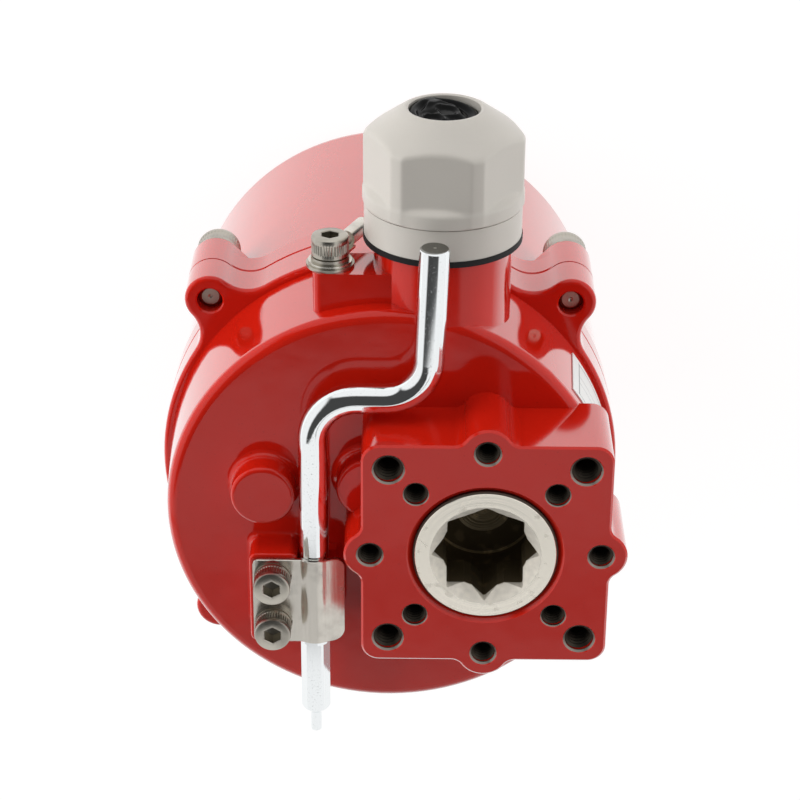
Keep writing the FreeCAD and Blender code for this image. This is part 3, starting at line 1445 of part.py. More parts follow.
def electrics():
    """The circuit board on three posts, with the terminal block for the cable."""
    top = -size.board_depth
    bottom = top - size.board_thickness
    board = Piece("circuit_board")
    half_x, half_y = size.board_length / 2, size.board_width / 2
    plan = box(middle - half_x, size.board_y - half_y, middle + half_x, size.board_y + half_y, size.overlap)
    board.pad([plan], bottom, size.board_thickness)
    hole = size.stud_radius + size.small_gap
    for x, y in post_places():
        board.pocket([circle(hole)], top, size.board_thickness, x=x, y=y)
    finish(board)

    posts, screws = [], []
    for x, y in post_places():
        post = Piece("board_post", x, y, top)
        height = plate_back - top
        post.pad([hexagon(2 * size.post_radius)], 0, height)
        stud = size.plate_thickness - size.side_clearance
        post.pad([circle(size.stud_radius)], height, stud)
        depth = 3 * size.stud_radius
        post.pocket([circle(size.stud_radius)], depth, depth)
        posts.append(post)
        screws.append(screw(
            "board_screw", (x, y, bottom, DOWN), size.stud_radius - size.thread_clearance,
            size.board_thickness + depth - size.side_clearance,
            size.switch_head_radius, size.tiny_head_height / 2, size.slim_key,
        ))
    group("board_posts", posts)
    group("board_screws", screws)

    block = Piece("terminal_block", middle, size.board_y + half_y - size.terminal_width / 2, bottom)
    half_x, half_y, height = size.terminal_length / 2, size.terminal_width / 2, size.terminal_height
    block.pad([box(-half_x, -half_y, half_x, half_y)], -height, height)
    pitch = size.terminal_length / size.terminal_count
    doors, screws = [], []
    for index in range(int(size.terminal_count.number)):
        x = (2 * index + 1) * pitch / 2 - half_x
        door_half, door_end = size.door_width / 2, size.door_level + size.door_height
        doors.append(box(x - door_half, -door_end, x + door_half, -size.door_level))
        block.pocket([circle(size.terminal_screw)], size.terminal_screw_depth - height, height, x=x)
        place = middle + x, size.board_y + size.board_width / 2 - size.terminal_width / 2, bottom - height
        pin = Piece("terminal_screw", *place)
        radius = size.terminal_screw - size.thread_clearance
        pin.pad([circle(radius)], size.overlap, size.terminal_screw_depth - size.overlap)
        slot = box(-size.terminal_screw, -size.slot_width / 2, size.terminal_screw, size.slot_width / 2)
        pin.pocket([slot], size.overlap + size.slot_depth, size.overlap)
        screws.append(pin)
    block.pocket(doors, half_y - size.overlap, size.overlap, plane="XZ_Plane")
    finish(block)
    group("terminal_screws", screws)


def cable_gland():
    """The plastic gland on the neck, from its flat ring to the plug that closes it."""
    start = size.gland_gasket_thickness
    place = size.gland_x, size.neck_end, -size.gland_depth, ALONG_Y
    gasket = Piece("gland_gasket", *place)
    spigot = size.gland_thread_radius - size.thread_clearance
    gasket.pad([circle(size.gland_gasket_radius), circle(spigot + size.small_gap)], 0, start)
    finish(gasket)

    body = Piece("gland_body", *place)
    bore, collar = size.gland_bore_radius, size.gland_collar_radius
    top = start + size.gland_body_length
    collar_end = top + size.gland_collar_length
    body.turned(
        (bore, -size.gland_spigot_length),
        (spigot, -size.gland_spigot_length),
        (spigot, start),
        (size.gland_body_radius, start),
        (size.gland_body_radius, top),
        (collar, top),
        (collar, collar_end),
        (bore, collar_end),
    )
    finish(body)

    seam = size.thread_clearance
    turn = ALONG_Y.multiply(FreeCAD.Rotation(FreeCAD.Vector(0, 0, 1), size.gland_turn.number))
    place = size.gland_x, size.neck_end + top + seam, -size.gland_depth, turn
    nut = Piece("gland_nut", *place)
    shoulder, mouth = size.gland_nut_shoulder, size.gland_nut_length
    inside = collar_end - top + 2 * size.overlap
    cone_end = mouth - size.mouth_depth
    nut.turned(
        (collar + seam, 0),
        (size.gland_nut_radius, 0),
        (size.gland_nut_radius, shoulder, size.gland_nut_round),
        (size.gland_mouth_radius + size.screw_edge, mouth, size.screw_edge),
        (size.gland_mouth_radius, mouth - size.screw_edge),
        (size.gland_mouth_radius, cone_end),
        (collar + seam, inside),
    )
    flats = [circle(size.gland_nut_radius + size.overlap), hexagon(size.gland_nut_flats)]
    above = mouth + size.overlap
    nut.pocket(flats, above, above - size.gland_nut_collar)
    finish(nut)

    grommet = Piece("gland_grommet", *place)
    low = collar_end - top - seam
    hole, gap = size.plug_radius, size.small_gap
    grommet.turned(
        (hole, low),
        (collar, low),
        (collar, inside - gap),
        (size.gland_mouth_radius, cone_end - gap),
        (hole, cone_end - gap),
    )
    finish(grommet)

    plug = Piece("gland_plug", *place)
    head = size.gland_mouth_radius - size.side_clearance
    face = cone_end + size.plug_head
    plug.turned(
        (0, low / 2),
        (hole - size.seat_clearance, low / 2),
        (hole - size.seat_clearance, cone_end),
        (head, cone_end),
        (head, face - size.screw_edge),
        (head - size.screw_edge, face),
        (0, face),
    )
    half, reach = size.plug_tab / 2, head - size.plug_bar_margin
    for bar in (box(-half, -reach, half, reach), box(-reach, -half, reach, half)):
        plug.pad([bar], face - size.screw_edge, size.plug_tab + size.screw_edge)
    finish(plug)


def earth_terminal():
    """The earth screw with spring washer, flat washer and an empty ring lug."""
    x, z = size.earth_x, -size.earth_depth
    level = size.earth_face
    hole = size.small_thread_radius + size.side_clearance
    washer = Piece("earth_washer", x, level, z, ALONG_Y)
    washer.pad([circle(size.earth_washer_radius), circle(hole)], 0, size.earth_washer_thickness)
    finish(washer)
    level += size.earth_washer_thickness

    turn = ALONG_Y.multiply(FreeCAD.Rotation(FreeCAD.Vector(0, 0, 1), size.lug_angle.number))
    lug = Piece("earth_lug", x, level, z, turn)
    thickness, barrel = size.lug_thickness, size.lug_barrel_radius
    lug.pad([circle(size.lug_ring_radius), circle(hole)], 0, thickness)
    tongue = box(hole + thickness, -barrel, size.lug_start + thickness, barrel)
    lug.pad([tongue], 0, thickness)
    tube = [circle(barrel, 0, barrel), circle(barrel - thickness, 0, barrel)]
    lug.pad(tube, size.lug_start, size.lug_end - size.lug_start, plane="YZ_Plane")
    finish(lug)
    level += thickness

    spring = spring_washer(
        "earth_spring_washer", (x, level, z, ALONG_Y), hole, size.small_head_radius + size.small_gap,
        size.small_spring_thickness,
    )
    finish(spring)
    level += size.small_spring_thickness
    shank = size.small_thread_radius - size.thread_clearance
    length = level - size.earth_face + size.small_thread_depth
    finish(screw(
        "earth_screw", (x, level, z, ALONG_Y), shank, length,
        size.small_head_radius, size.small_head_height, size.small_key,
    ))


def hand_crank():
    """The bent rod that turns the first shaft by hand: hex end with a pin, two bends, plain end."""
    crank = Piece("hand_crank", rotation=ALONG_Y)
    x, depth = size.crank_leg_x, size.rod_depth
    run = size.crank_run_y
    lean = size.crank_top_y - run
    knee = size.crank_top_x - lean * sine(size.crank_lean) / cosine(size.crank_lean)
    bend = size.crank_bend
    route = [(x, size.crank_end), (x, run, bend), (knee, run, bend), (size.crank_top_x, size.crank_top_y)]
    path = crank.sketch([outline(*route)], -depth, plane="XZ_Plane")
    closing = path.GeometryCount - 1
    path.toggleConstruction(closing)
    start = crank.sketch([circle(size.rod_radius)], size.crank_end, x=x, y=depth)
    rod = crank.feature("AdditivePipe", start)
    rod.Spine = (path, [])
    tip = FreeCAD.Vector(size.crank_top_x.number, depth.number, size.crank_top_y.number)

    def rims_tip(edge):
        radius = size.rod_radius.number
        return all(abs((edge.valueAt(at) - tip).Length - radius) < NEAR for at in stations(edge))

    crank.bevel(size.screw_edge, rims_tip)
    around = circle(size.rod_radius + size.overlap)
    flats = size.crank_key_start - size.crank_end
    crank.pocket([around, hexagon(size.crank_key)], size.crank_key_start, flats + size.overlap, x=x, y=depth)
    bevel = size.overlap
    nose = size.crank_key / 2 - bevel
    crank.bored(
        (nose, size.crank_end),
        (nose + 3 * bevel, size.crank_end + 3 * bevel),
        (nose + 3 * bevel, size.crank_end - bevel),
        (nose, size.crank_end - bevel),
        x=x,
        y=depth,
    )
    pin = [circle(size.crank_pin_radius)]
    crank.pad(pin, size.crank_pin_end, size.crank_end - size.crank_pin_end + size.overlap, x=x, y=depth)
    finish(crank)


def crank_holder():
    """The bent sheet clip over the rod, with two screws and spring washers."""
    clip = Piece("crank_clip")
    low, high = -size.clip_top, size.clip_thickness - size.clip_top
    length = size.clip_upper - size.clip_lower
    x, z = size.crank_leg_x, -size.rod_depth
    inner = size.rod_radius + size.rod_clearance
    outer = inner + size.clip_thickness
    hump = x + square_root(outer * outer - (high - z) * (high - z)) + size.side_clearance
    section = outline(
        (size.clip_left, low),
        (hump, low),
        (size.clip_right, low + size.clip_flare),
        (size.clip_right, high + size.clip_flare),
        (hump, high),
        (size.clip_left, high),
    )
    clip.pad([section], -size.clip_upper, length, plane="XZ_Plane")
    right, lower, reach = size.clip_right, size.clip_lower, size.clip_corner + size.overlap
    beyond_corner = outline(
        (right, lower + reach),
        (right, lower, size.clip_corner),
        (right - reach, lower),
        (right - reach, lower - reach),
        (right + reach, lower - reach),
        (right + reach, lower + reach),
    )
    top = high + size.clip_flare + size.overlap
    clip.pocket([beyond_corner], top, top - low)
    clip.pad([circle(outer, x, z)], -size.clip_upper, length, plane="XZ_Plane")
    below = box(x - outer - size.overlap, z - 2 * outer, x + outer + size.overlap, low)
    clip.pocket([below], -size.clip_lower, length, plane="XZ_Plane")
    clip.pocket([circle(inner, x, z)], -size.clip_lower, length, plane="XZ_Plane")
    hole = size.small_thread_radius + size.side_clearance
    screws, washers = [], []
    for y in (size.clip_screw_y, size.clip_screw_y - size.clip_screw_pitch):
        clip.pocket([circle(hole)], high, size.clip_thickness, x=size.clip_screw_x, y=y)
        washers.append(spring_washer(
            "clip_spring_washer", (size.clip_screw_x, y, high), hole, size.small_head_radius + size.small_gap,
            size.small_spring_thickness,
        ))
        seat = high + size.small_spring_thickness
        screws.append(screw(
            "clip_screw", (size.clip_screw_x, y, seat), size.small_thread_radius - size.thread_clearance,
            seat - low + size.small_thread_depth - size.side_clearance,
            size.small_head_radius, size.small_head_height, size.small_key,
        ))
    finish(clip)
    group("clip_spring_washers", washers)
    group("clip_screws", screws)


base_housing()
top_cover()
cover_fasteners()
window()
side_label()
drive_sleeve()
gear_train()
gear_plate()
indicator_drive()
limit_switches()
motor()
electrics()
cable_gland()
earth_terminal()
hand_crank()
crank_holder()
doc.recompute()

for thing in doc.Objects:
    if "Invalid" in thing.State or "Error" in thing.State:
        raise RuntimeError("%s could not be built" % thing.Label)
os.makedirs("parts", exist_ok=True)
for node in nodes:
    if node.Shape.isNull() or not node.Shape.isValid():
        raise RuntimeError("%s has no sound shape" % node.Label)
    node.Shape.exportStep(os.path.join("parts", node.Label + ".step"))
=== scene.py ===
# A quarter-turn electric actuator that lies on its cover, valve side up, its hand crank clipped on.
# Shared frame: origin in the mounting face on the output axis, Z out of that face, Y to the gland.
import json
import math

import bpy
from mathutils import Matrix, Vector, noise


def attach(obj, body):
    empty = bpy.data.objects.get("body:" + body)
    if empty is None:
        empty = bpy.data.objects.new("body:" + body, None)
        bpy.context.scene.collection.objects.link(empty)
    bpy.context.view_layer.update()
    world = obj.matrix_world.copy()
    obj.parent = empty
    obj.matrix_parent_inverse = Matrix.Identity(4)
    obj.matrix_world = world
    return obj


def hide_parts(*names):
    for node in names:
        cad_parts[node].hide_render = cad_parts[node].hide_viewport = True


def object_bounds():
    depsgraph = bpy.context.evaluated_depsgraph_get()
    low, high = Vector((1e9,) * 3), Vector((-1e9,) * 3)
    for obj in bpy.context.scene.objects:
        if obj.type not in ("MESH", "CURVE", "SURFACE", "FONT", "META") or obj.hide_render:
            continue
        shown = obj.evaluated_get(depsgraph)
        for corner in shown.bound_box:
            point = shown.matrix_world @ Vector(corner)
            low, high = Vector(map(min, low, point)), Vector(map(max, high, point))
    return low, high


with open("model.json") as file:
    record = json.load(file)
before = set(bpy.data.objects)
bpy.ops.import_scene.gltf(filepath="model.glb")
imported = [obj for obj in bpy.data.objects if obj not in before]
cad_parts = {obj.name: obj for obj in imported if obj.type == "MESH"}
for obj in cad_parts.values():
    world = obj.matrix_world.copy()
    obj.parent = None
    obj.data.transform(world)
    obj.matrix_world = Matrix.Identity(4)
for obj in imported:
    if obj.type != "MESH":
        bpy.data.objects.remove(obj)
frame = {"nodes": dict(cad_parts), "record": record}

# Finishes and pieces are written in millimetres, and MM makes metres of them.
MM = 0.001
model_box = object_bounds()

# Places on the housing, as in the CAD.
HOUSING_MIDDLE = -17.8
EAR_SPREAD = 34.0
ROD_X = -31.5
ROD_Z = -9.8


def tint(red, green, blue):
    """A colour as a screen shows it, from 0 to 255, as the linear colour that a shader takes."""
    def linear(level):
        share = level / 255
        return share / 12.92 if share <= 0.04045 else ((share + 0.055) / 1.055) ** 2.4

    return (linear(red), linear(green), linear(blue), 1)


WHITE = (1, 1, 1, 1)


class Signal:
    """A socket of a finish. Arithmetic on it adds the nodes that work the result out."""

    def __init__(self, nodes, socket):
        self.nodes = nodes
        self.socket = socket

    def math(self, operation, first, second=0.0):
        return self.nodes.node("ShaderNodeMath", {"operation": operation}, {0: first, 1: second})

    def part(self, name):
        return Signal(self.nodes, self.socket.node.outputs[name])

    def __add__(self, other):
        return self.math("ADD", self, other)

    def __sub__(self, other):
        return self.math("SUBTRACT", self, other)

    def __rsub__(self, other):
        return self.math("SUBTRACT", other, self)

    def __mul__(self, other):
        return self.math("MULTIPLY", self, other)

    def __pow__(self, other):
        return self.math("POWER", self, other)

    def __gt__(self, other):
        return self.math("GREATER_THAN", self, other)

    def __lt__(self, other):
        return self.math("LESS_THAN", self, other)

    def __abs__(self):
        return self.math("ABSOLUTE", self)

    __radd__ = __add__
    __rmul__ = __mul__

    def rise(self, low, high):
        """0 below the low value, 1 above the high one, and smooth between them."""
        ends = {"Value": self, "From Min": low, "From Max": high}
        return self.nodes.node("ShaderNodeMapRange", {"interpolation_type": "SMOOTHSTEP"}, ends)


class Finish:
    """The nodes of a material or of the world."""

    def __init__(self, owner):
        owner.use_nodes = True
        self.owner = owner
        self.tree = owner.node_tree
        self.tree.nodes.clear()

    def node(self, kind, settings=None, values=None, output=0):
        """A node with its settings, then its values or links; the result is one of its outputs."""
        made = self.tree.nodes.new(kind)
        for name, setting in (settings or {}).items():
            setattr(made, name, setting)
        for name, value in (values or {}).items():
            if isinstance(value, Signal):
                self.tree.links.new(value.socket, made.inputs[name])
            else:
                made.inputs[name].default_value = value
        return Signal(self, made.outputs[output]) if made.outputs else None

    def place(self):
        """Where a point is on the part at rest, in metres."""
        return self.node("ShaderNodeTexCoord").part("Object")

    def split(self, place):
        parts = self.node("ShaderNodeSeparateXYZ", None, {0: place})
        return parts.part("X"), parts.part("Y"), parts.part("Z")

    def vector(self, x, y, z):
        return self.node("ShaderNodeCombineXYZ", None, {0: x, 1: y, 2: z})

    def stretched(self, place, factors):
        """A place scaled along each axis; a small factor draws the grain out along that axis."""
        values = {0: place, 1: factors}
        return self.node("ShaderNodeVectorMath", {"operation": "MULTIPLY"}, values)

    def noise(self, place, grain, detail=2.0):
        """Cloudy noise from 0 to 1 whose grain is in millimetres."""
        values = {"Vector": place, "Scale": 1 / (grain * MM), "Detail": detail, "Roughness": 0.5}
        return self.node("ShaderNodeTexNoise", None, values)

    def mix(self, share, first, second):
        values = {0: share, 6: first, 7: second}
        return self.node("ShaderNodeMix", {"data_type": "RGBA"}, values, 2)

    def shade(self, colour, factor):
        """A colour times a number."""
        settings = {"data_type": "RGBA", "blend_type": "MULTIPLY"}
        values = {0: 1.0, 6: colour, 7: self.vector(factor, factor, factor)}
        return self.node("ShaderNodeMix", settings, values, 2)

    def bump(self, height, depth, under=None):
        """Relief of a depth in millimetres."""
        values = {"Height": height, "Distance": depth * MM, "Strength": 1.0}
        if under:
            values["Normal"] = under
        return self.node("ShaderNodeBump", None, values)

    def shader(self, **values):
        named = {name.replace("_", " "): value for name, value in values.items()}
        self.surface(self.node("ShaderNodeBsdfPrincipled", None, named))
        return self.owner

    def surface(self, shader):
        self.node("ShaderNodeOutputMaterial", None, {"Surface": shader})


def finish(name):
    return Finish(bpy.data.materials.new(name))


# The cut mouths of the pad's holes: place in one quarter and radius, and the depths between them.
HOLE_MOUTHS = (17.68, 17.68, 3.2), (12.73, 12.73, 2.75), (21, 0, 2.75), (0, 21, 2.75)
MOUTH_TOP = -0.12
MOUTH_BOTTOM = -0.7


def bare_mouths(paint, place):
    """1 where the drill cut the paint away round a hole, else 0."""
    x, y, z = paint.split(place)
    across, along = abs(x), abs(y)
    mouths = [
        (across - hole_x * MM) ** 2 + (along - hole_y * MM) ** 2 < (reach * MM) ** 2
        for hole_x, hole_y, reach in HOLE_MOUTHS
    ]
    return sum(mouths) * (z > MOUTH_BOTTOM * MM) * (z < MOUTH_TOP * MM)


def enamel(name, colour):
    """Glossy baked enamel on a casting: orange peel, waves, grit, a lacquer that shines aslant."""
    paint = finish(name)
    place = paint.place()
    cloud = paint.noise(place, 16, 3)
    grit = paint.noise(place, 0.5, 1).rise(0.68, 0.76)
    level = 0.94 + cloud * 0.12 - grit * 0.15
    peel = paint.noise(place, 1.4, 1)
    waves = paint.noise(place, 7, 1)
    relief = paint.bump(waves, 0.03, paint.bump(peel, 0.004))
    aslant = paint.node("ShaderNodeLayerWeight", None, {"Blend": 0.5}, "Facing").rise(0.36, 0.54)
    bare = bare_mouths(paint, place)
    return paint.shader(
        Base_Color=paint.mix(bare, paint.shade(colour, level), tint(150, 142, 134)),
        Metallic=bare, Roughness=0.06 + paint.noise(place, 4) * 0.08 + bare * 0.3, Normal=relief,
        IOR=1.46, Coat_Weight=aslant * (1 - bare), Coat_IOR=1.8, Coat_Roughness=0.08,
    )


# The drive sleeve's own shape, by radius or by depth below the mounting face.
SOCKET_RADIUS = 10.15
SLEEVE_EDGE = 12.88
LEAD_DEPTH = 2.3
SOCKET_DEPTH = 17.6
TURNED_FLOOR = 5.3
FLOOR_CORNER = 9.75


def turned_nickel():
    """Turned and nickel plated: rings round the axis, stains, a rough lead-in, painted shade in the
    socket and on the sleeve's rim, a painted highlight on the socket floor's corner.
    """
    sleeve = finish("turned nickel")
    place = sleeve.place()
    x, y, z = sleeve.split(place)
    radius = (x * x + y * y) ** 0.5
    depth = z * -1

    socket = radius < SOCKET_RADIUS * MM
    lead = socket * (1 - depth.rise(LEAD_DEPTH * MM, 2.5 * MM)) * depth.rise(0.01 * MM, 0.06 * MM)
    inside = socket * depth.rise(LEAD_DEPTH * MM, 2.6 * MM)
    floor = depth > SOCKET_DEPTH * MM
    turned = floor * (radius < TURNED_FLOOR * MM)
    # Painted highlight: a lighter ring on the socket floor past FLOOR_CORNER.
    corner = floor * (radius > FLOOR_CORNER * MM)
    edge = radius > SLEEVE_EDGE * MM

    stain = sleeve.noise(place, 2.6, 4).rise(0.56, 0.72)
    blotch = sleeve.noise(place, 1.3, 3)
    face = sleeve.mix(stain * 0.4, tint(244, 238, 225), tint(196, 188, 172))
    face = sleeve.mix(lead, face, sleeve.shade(tint(230, 224, 212), 0.76 + blotch * 0.5))
    # Painted shade: the socket's walls and outer floor are painted dark brown and its turned floor
    # lighter.
    socket_shade_and_highlight = sleeve.mix(turned + corner, tint(134, 119, 92), tint(210, 194, 160))
    colour = sleeve.mix(inside, face, sleeve.shade(socket_shade_and_highlight, 0.7 + stain * 0.5))
    # Painted shade: the rim past SLEEVE_EDGE is painted dark as the shade of the gap round the
    # sleeve.
    colour = sleeve.mix(edge, colour, tint(96, 90, 82))

    rings = sleeve.noise(sleeve.vector(radius, z, 0), 0.2, 2)
    broad = sleeve.noise(sleeve.vector(radius, z, 3), 1.6, 1)
    grooves = sleeve.noise(sleeve.vector(radius, 0, 7), 0.5, 1)
    relief = sleeve.bump(rings, 0.006, sleeve.bump(grooves * turned, 0.5))
    return sleeve.shader(
        Base_Color=colour, Metallic=1 - lead * 0.65 - inside * 0.25,
        Roughness=0.24 + stain * 0.14 + inside * 0.2 + lead * 0.3 + edge * 0.3,
        Normal=sleeve.bump(broad, 0.02, relief),
    )


def metal(name, colour, rough, grain=0.35, relief=0.004, stain=0.25, stretch=(1, 1, 1)):
    """Bare or plated metal with fine grain, drawn out where a stretch is given, and stains."""
    bare = finish(name)
    place = bare.place()
    fine = bare.noise(bare.stretched(place, stretch), grain, 2)
    cloud = bare.noise(place, 5, 3).rise(0.45, 0.75)
    level = 1.0 - cloud * stain + (fine - 0.5) * 0.12
    return bare.shader(
        Base_Color=bare.shade(colour, level), Metallic=1.0,
        Roughness=rough + cloud * 0.1 + (fine - 0.5) * 0.1, Normal=bare.bump(fine, relief),
    )


# Grain that is drawn out along Y, the way of the crank and of the clip's sheet.
DRAWN = (1, 0.05, 1)

# The crank's sawn end faces +Y. A small dent marks its centre.
SAWN_FROM = 56.45
DENT_X = -9.8
DENT_RADIUS = 0.3


def crank_plating():
    """Bright plating over drawn rod: fine pits, faint draw lines, and a dull sawn end."""
    rod = finish("crank plating")
    place = rod.place()
    x, y, z = rod.split(place)
    sawn = y > SAWN_FROM * MM
    dent = (x - DENT_X * MM) ** 2 + (z - ROD_Z * MM) ** 2 < (DENT_RADIUS * MM) ** 2
    pits = rod.noise(place, 0.35, 2).rise(0.6, 0.8)
    lines = rod.noise(rod.stretched(place, DRAWN), 0.35, 2)
    bright = rod.shade(tint(238, 241, 242), 1 - pits * 0.12)
    dull = rod.mix(dent, rod.shade(tint(160, 160, 155), 0.8 + pits * 0.5), tint(220, 220, 216))
    return rod.shader(
        Base_Color=rod.mix(sawn, bright, dull), Metallic=1.0,
        Roughness=0.06 + pits * 0.1 + sawn * 0.3,
        Normal=rod.bump(pits, -0.003, rod.bump(lines, 0.004)),
    )


def plastic(name, colour, rough, grain=0.4, relief=0.008, mottle=0.06, gloss=0.5):
    """Moulded plastic or rubber with a fine spark-eroded surface."""
    moulded = finish(name)
    place = moulded.place()
    fine = moulded.noise(place, grain, 2)
    cloud = moulded.noise(place, 8, 3)
    level = 1.0 + (cloud - 0.5) * 2 * mottle + (fine - 0.5) * mottle
    return moulded.shader(
        Base_Color=moulded.shade(colour, level), Roughness=rough + (cloud - 0.5) * 0.1,
        Normal=moulded.bump(fine, relief), Specular_IOR_Level=gloss,
    )


# The side label: its middle by height and by angle round the housing, then its printed lines.
LABEL_LEVEL = -26
LABEL_ANGLE = math.radians(2)
LABEL_FRAME = 5.6
LABEL_FIELD = 1.2
LABEL_SIDE = math.radians(31)


def label_film():
    """Pale film with a thin frame line and one blank field."""
    film = finish("label film")
    place = film.place()
    x, y, z = film.split(place)
    angle = film.node(
        "ShaderNodeMath", {"operation": "ARCTAN2"}, {0: y, 1: x - HOUSING_MIDDLE * MM},
    )
    high, wide = abs(z - LABEL_LEVEL * MM), abs(angle - LABEL_ANGLE)
    frame_lines = abs(high - LABEL_FRAME * MM) < 0.12 * MM
    field_lines = abs(high - LABEL_FIELD * MM) < 0.08 * MM
    side_lines = abs(wide - LABEL_SIDE) < 0.0035
    printed = (high < 5.75 * MM) * (wide < math.radians(31.4))
    ink = ((frame_lines + field_lines + side_lines) > 0.5) * printed
    return film.shader(
        Base_Color=film.mix(ink, tint(226, 228, 226), tint(120, 122, 124)), Roughness=0.3,
        Normal=film.bump(film.noise(place, 1.5), 0.004),
    )


def clear():
    """A clear moulded window."""
    pane = finish("clear window")
    return pane.shader(
        Base_Color=tint(236, 242, 244), Roughness=0.04, Transmission_Weight=1.0, IOR=1.49,
        Normal=pane.bump(pane.noise(pane.place(), 4, 1), 0.01),
    )


FINISHES = {
    "red_enamel": enamel("red enamel", tint(204, 30, 14)),
    "black_rubber": plastic("black rubber", tint(22, 22, 23), 0.6, gloss=0.25),
    "plug_rubber": plastic("plug rubber", tint(4, 4, 4), 0.16, 1.5, 0.01, gloss=0.1),
    "grommet_rubber": plastic("grommet rubber", tint(120, 120, 118), 0.6),
    "label_film": label_film(),
    "clear_window": clear(),
    "stainless": metal("stainless", tint(186, 181, 170), 0.3),
    "clip_steel": metal("clip steel", tint(204, 199, 190), 0.2, 0.5, 0.012, 0.2, DRAWN),
    "crank_chrome": crank_plating(),
    "gland_plastic": plastic("gland nylon", tint(200, 195, 187), 0.34, 0.45, 0.008, 0.03),
    "lug_tin": metal("lug tin", tint(222, 218, 208), 0.28),
    "sleeve_nickel": turned_nickel(),
    "gear_steel": metal("gear steel", tint(150, 150, 152), 0.34),
    "zinc_plate": metal("zinc plate", tint(190, 192, 190), 0.36),
    "bronze": metal("bronze", tint(176, 128, 72), 0.35),
    "terminal_brass": metal("terminal brass", tint(206, 172, 96), 0.3),
    "cam_plastic": plastic("cam plastic", tint(232, 230, 222), 0.4),
    "indicator_yellow": plastic("indicator yellow", tint(242, 196, 30), 0.38),
    "switch_black": plastic("switch black", tint(34, 34, 36), 0.4),
    "motor_steel": metal("motor steel", tint(186, 186, 184), 0.3),
    # The gearhead is hidden; this dark tint is painted shade for the thread liners in the pad's
    # holes.
    "gearhead_zinc": metal("gearhead zinc", tint(66, 61, 54), 0.42),
    "board_laminate": plastic("board laminate", tint(30, 96, 52), 0.35),
    "terminal_plastic": plastic("terminal plastic", tint(58, 110, 66), 0.42),
    "capacitor_sleeve": plastic("capacitor sleeve", tint(40, 44, 60), 0.3),
}

for part in frame["record"]["subparts"]:
    for slot in frame["nodes"][part["node"]].material_slots:
        slot.material = FINISHES[part["material_slot"]]


def piece(name, vertices, faces, slot, body, sharp=32):
    """A mesh piece in millimetres of the shared frame, on its body."""
    mesh = bpy.data.meshes.new(name)
    mesh.from_pydata([Vector(point) * MM for point in vertices], [], faces)
    mesh.materials.append(FINISHES[slot])
    mesh.shade_smooth()
    mesh.set_sharp_from_angle(angle=math.radians(sharp))
    made = bpy.data.objects.new(name, mesh)
    bpy.context.scene.collection.objects.link(made)
    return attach(made, body)


def joined(parts):
    """One list of points and one of faces from those of several parts."""
    vertices, faces = [], []
    for more_vertices, more_faces in parts:
        start = len(vertices)
        vertices += more_vertices
        faces += [tuple(index + start for index in face) for face in more_faces]
    return vertices, faces


def ring_faces(low, high, count):
    """Quads between two rings of points, given by the index that each starts at."""
    quads = []
    for step in range(count):
        after = (step + 1) % count
        quads.append((low + step, low + after, high + after, high + step))
    return quads


# Screws with a knurled head. Each knurl takes three points of a ring.
KNURLS = 40
RING_POINTS = KNURLS * 3
KNURL_DEPTH = 0.14
SIXTH = math.pi / 3


def off_flat(angle):
    """How far an angle is from the middle of the nearest of six flats."""
    return (angle + SIXTH / 2) % SIXTH - SIXTH / 2


def ring(level, radius, knurl=0.0, flats=False):
    """A ring of points: round, knurled, or six-sided with the radius to its flats."""
    points = []
    for step in range(RING_POINTS):
        angle = 2 * math.pi * step / RING_POINTS
        reach = radius - (knurl if step % 3 == 0 else 0)
        if flats:
            reach = radius / math.cos(off_flat(angle))
        points.append((reach * math.cos(angle), reach * math.sin(angle), level))
    return points


def socket_screw(place, head, height, key, shank, length, pitch):
    """A socket head cap screw with a knurled head; its seat is at the place, its head along Z."""
    root = shank - 0.6 * pitch
    rows = [(-length, 0.2 * shank), (-length, shank - 0.9 * pitch)]
    level = 0.3 - length
    rows.append((level, shank - 0.5 * pitch))
    while level + pitch < 0:
        rows += [(level + 0.5 * pitch, shank), (level + pitch, root)]
        level += pitch

    knurled = head - 0.02
    rows += [(0, root), (0, head - 0.25), (0.25, head), (0.22 * height, head)]
    rows += [(0.26 * height, knurled, KNURL_DEPTH), (0.68 * height, knurled, KNURL_DEPTH)]
    rows += [(0.72 * height, head), (height - 0.55, head)]
    rows += [(height - 0.2, head - 0.1), (height, head - 0.45)]

    flat = 0.5 * key
    rows += [(height, flat + 0.14, 0, True), (height - 0.14, flat, 0, True)]
    rows += [(0.28 * height, flat, 0, True), (0.2 * height, 0.1 * key)]

    rings = [ring(*row) for row in rows]
    vertices = [place @ Vector(point) for points in rings for point in points]
    faces = []
    for row in range(len(rings) - 1):
        faces += ring_faces(row * RING_POINTS, (row + 1) * RING_POINTS, RING_POINTS)

    last = (len(rings) - 1) * RING_POINTS
    middle = sum((Vector(point) for point in rings[-1]), Vector()) / RING_POINTS
    bottom, tip = len(vertices), len(vertices) + 1
    vertices += [place @ middle, place @ Vector((0, 0, 0.15 * shank - length))]
    steps = [(step, (step + 1) % RING_POINTS) for step in range(RING_POINTS)]
    faces += [(last + step, last + after, bottom) for step, after in steps]
    faces += [(after, step, tip) for step, after in steps]
    return vertices, faces


def at(x, y, z, turn=Matrix.Identity(4)):
    return Matrix.Translation((x, y, z)) @ turn


TOWARDS_GLAND = Matrix.Rotation(math.radians(-90), 4, "X")
DOWNWARD = Matrix.Rotation(math.radians(180), 4, "X")

# Head radius, head height, key width, shank radius, length and pitch.
M4_CLIP = 3.4, 4, 3, 1.65, 8.5, 0.7
M4_EARTH = 3.4, 4, 3, 1.65, 9, 0.7
M5_COVER = 4.25, 5, 4, 2.35, 17.7, 0.8

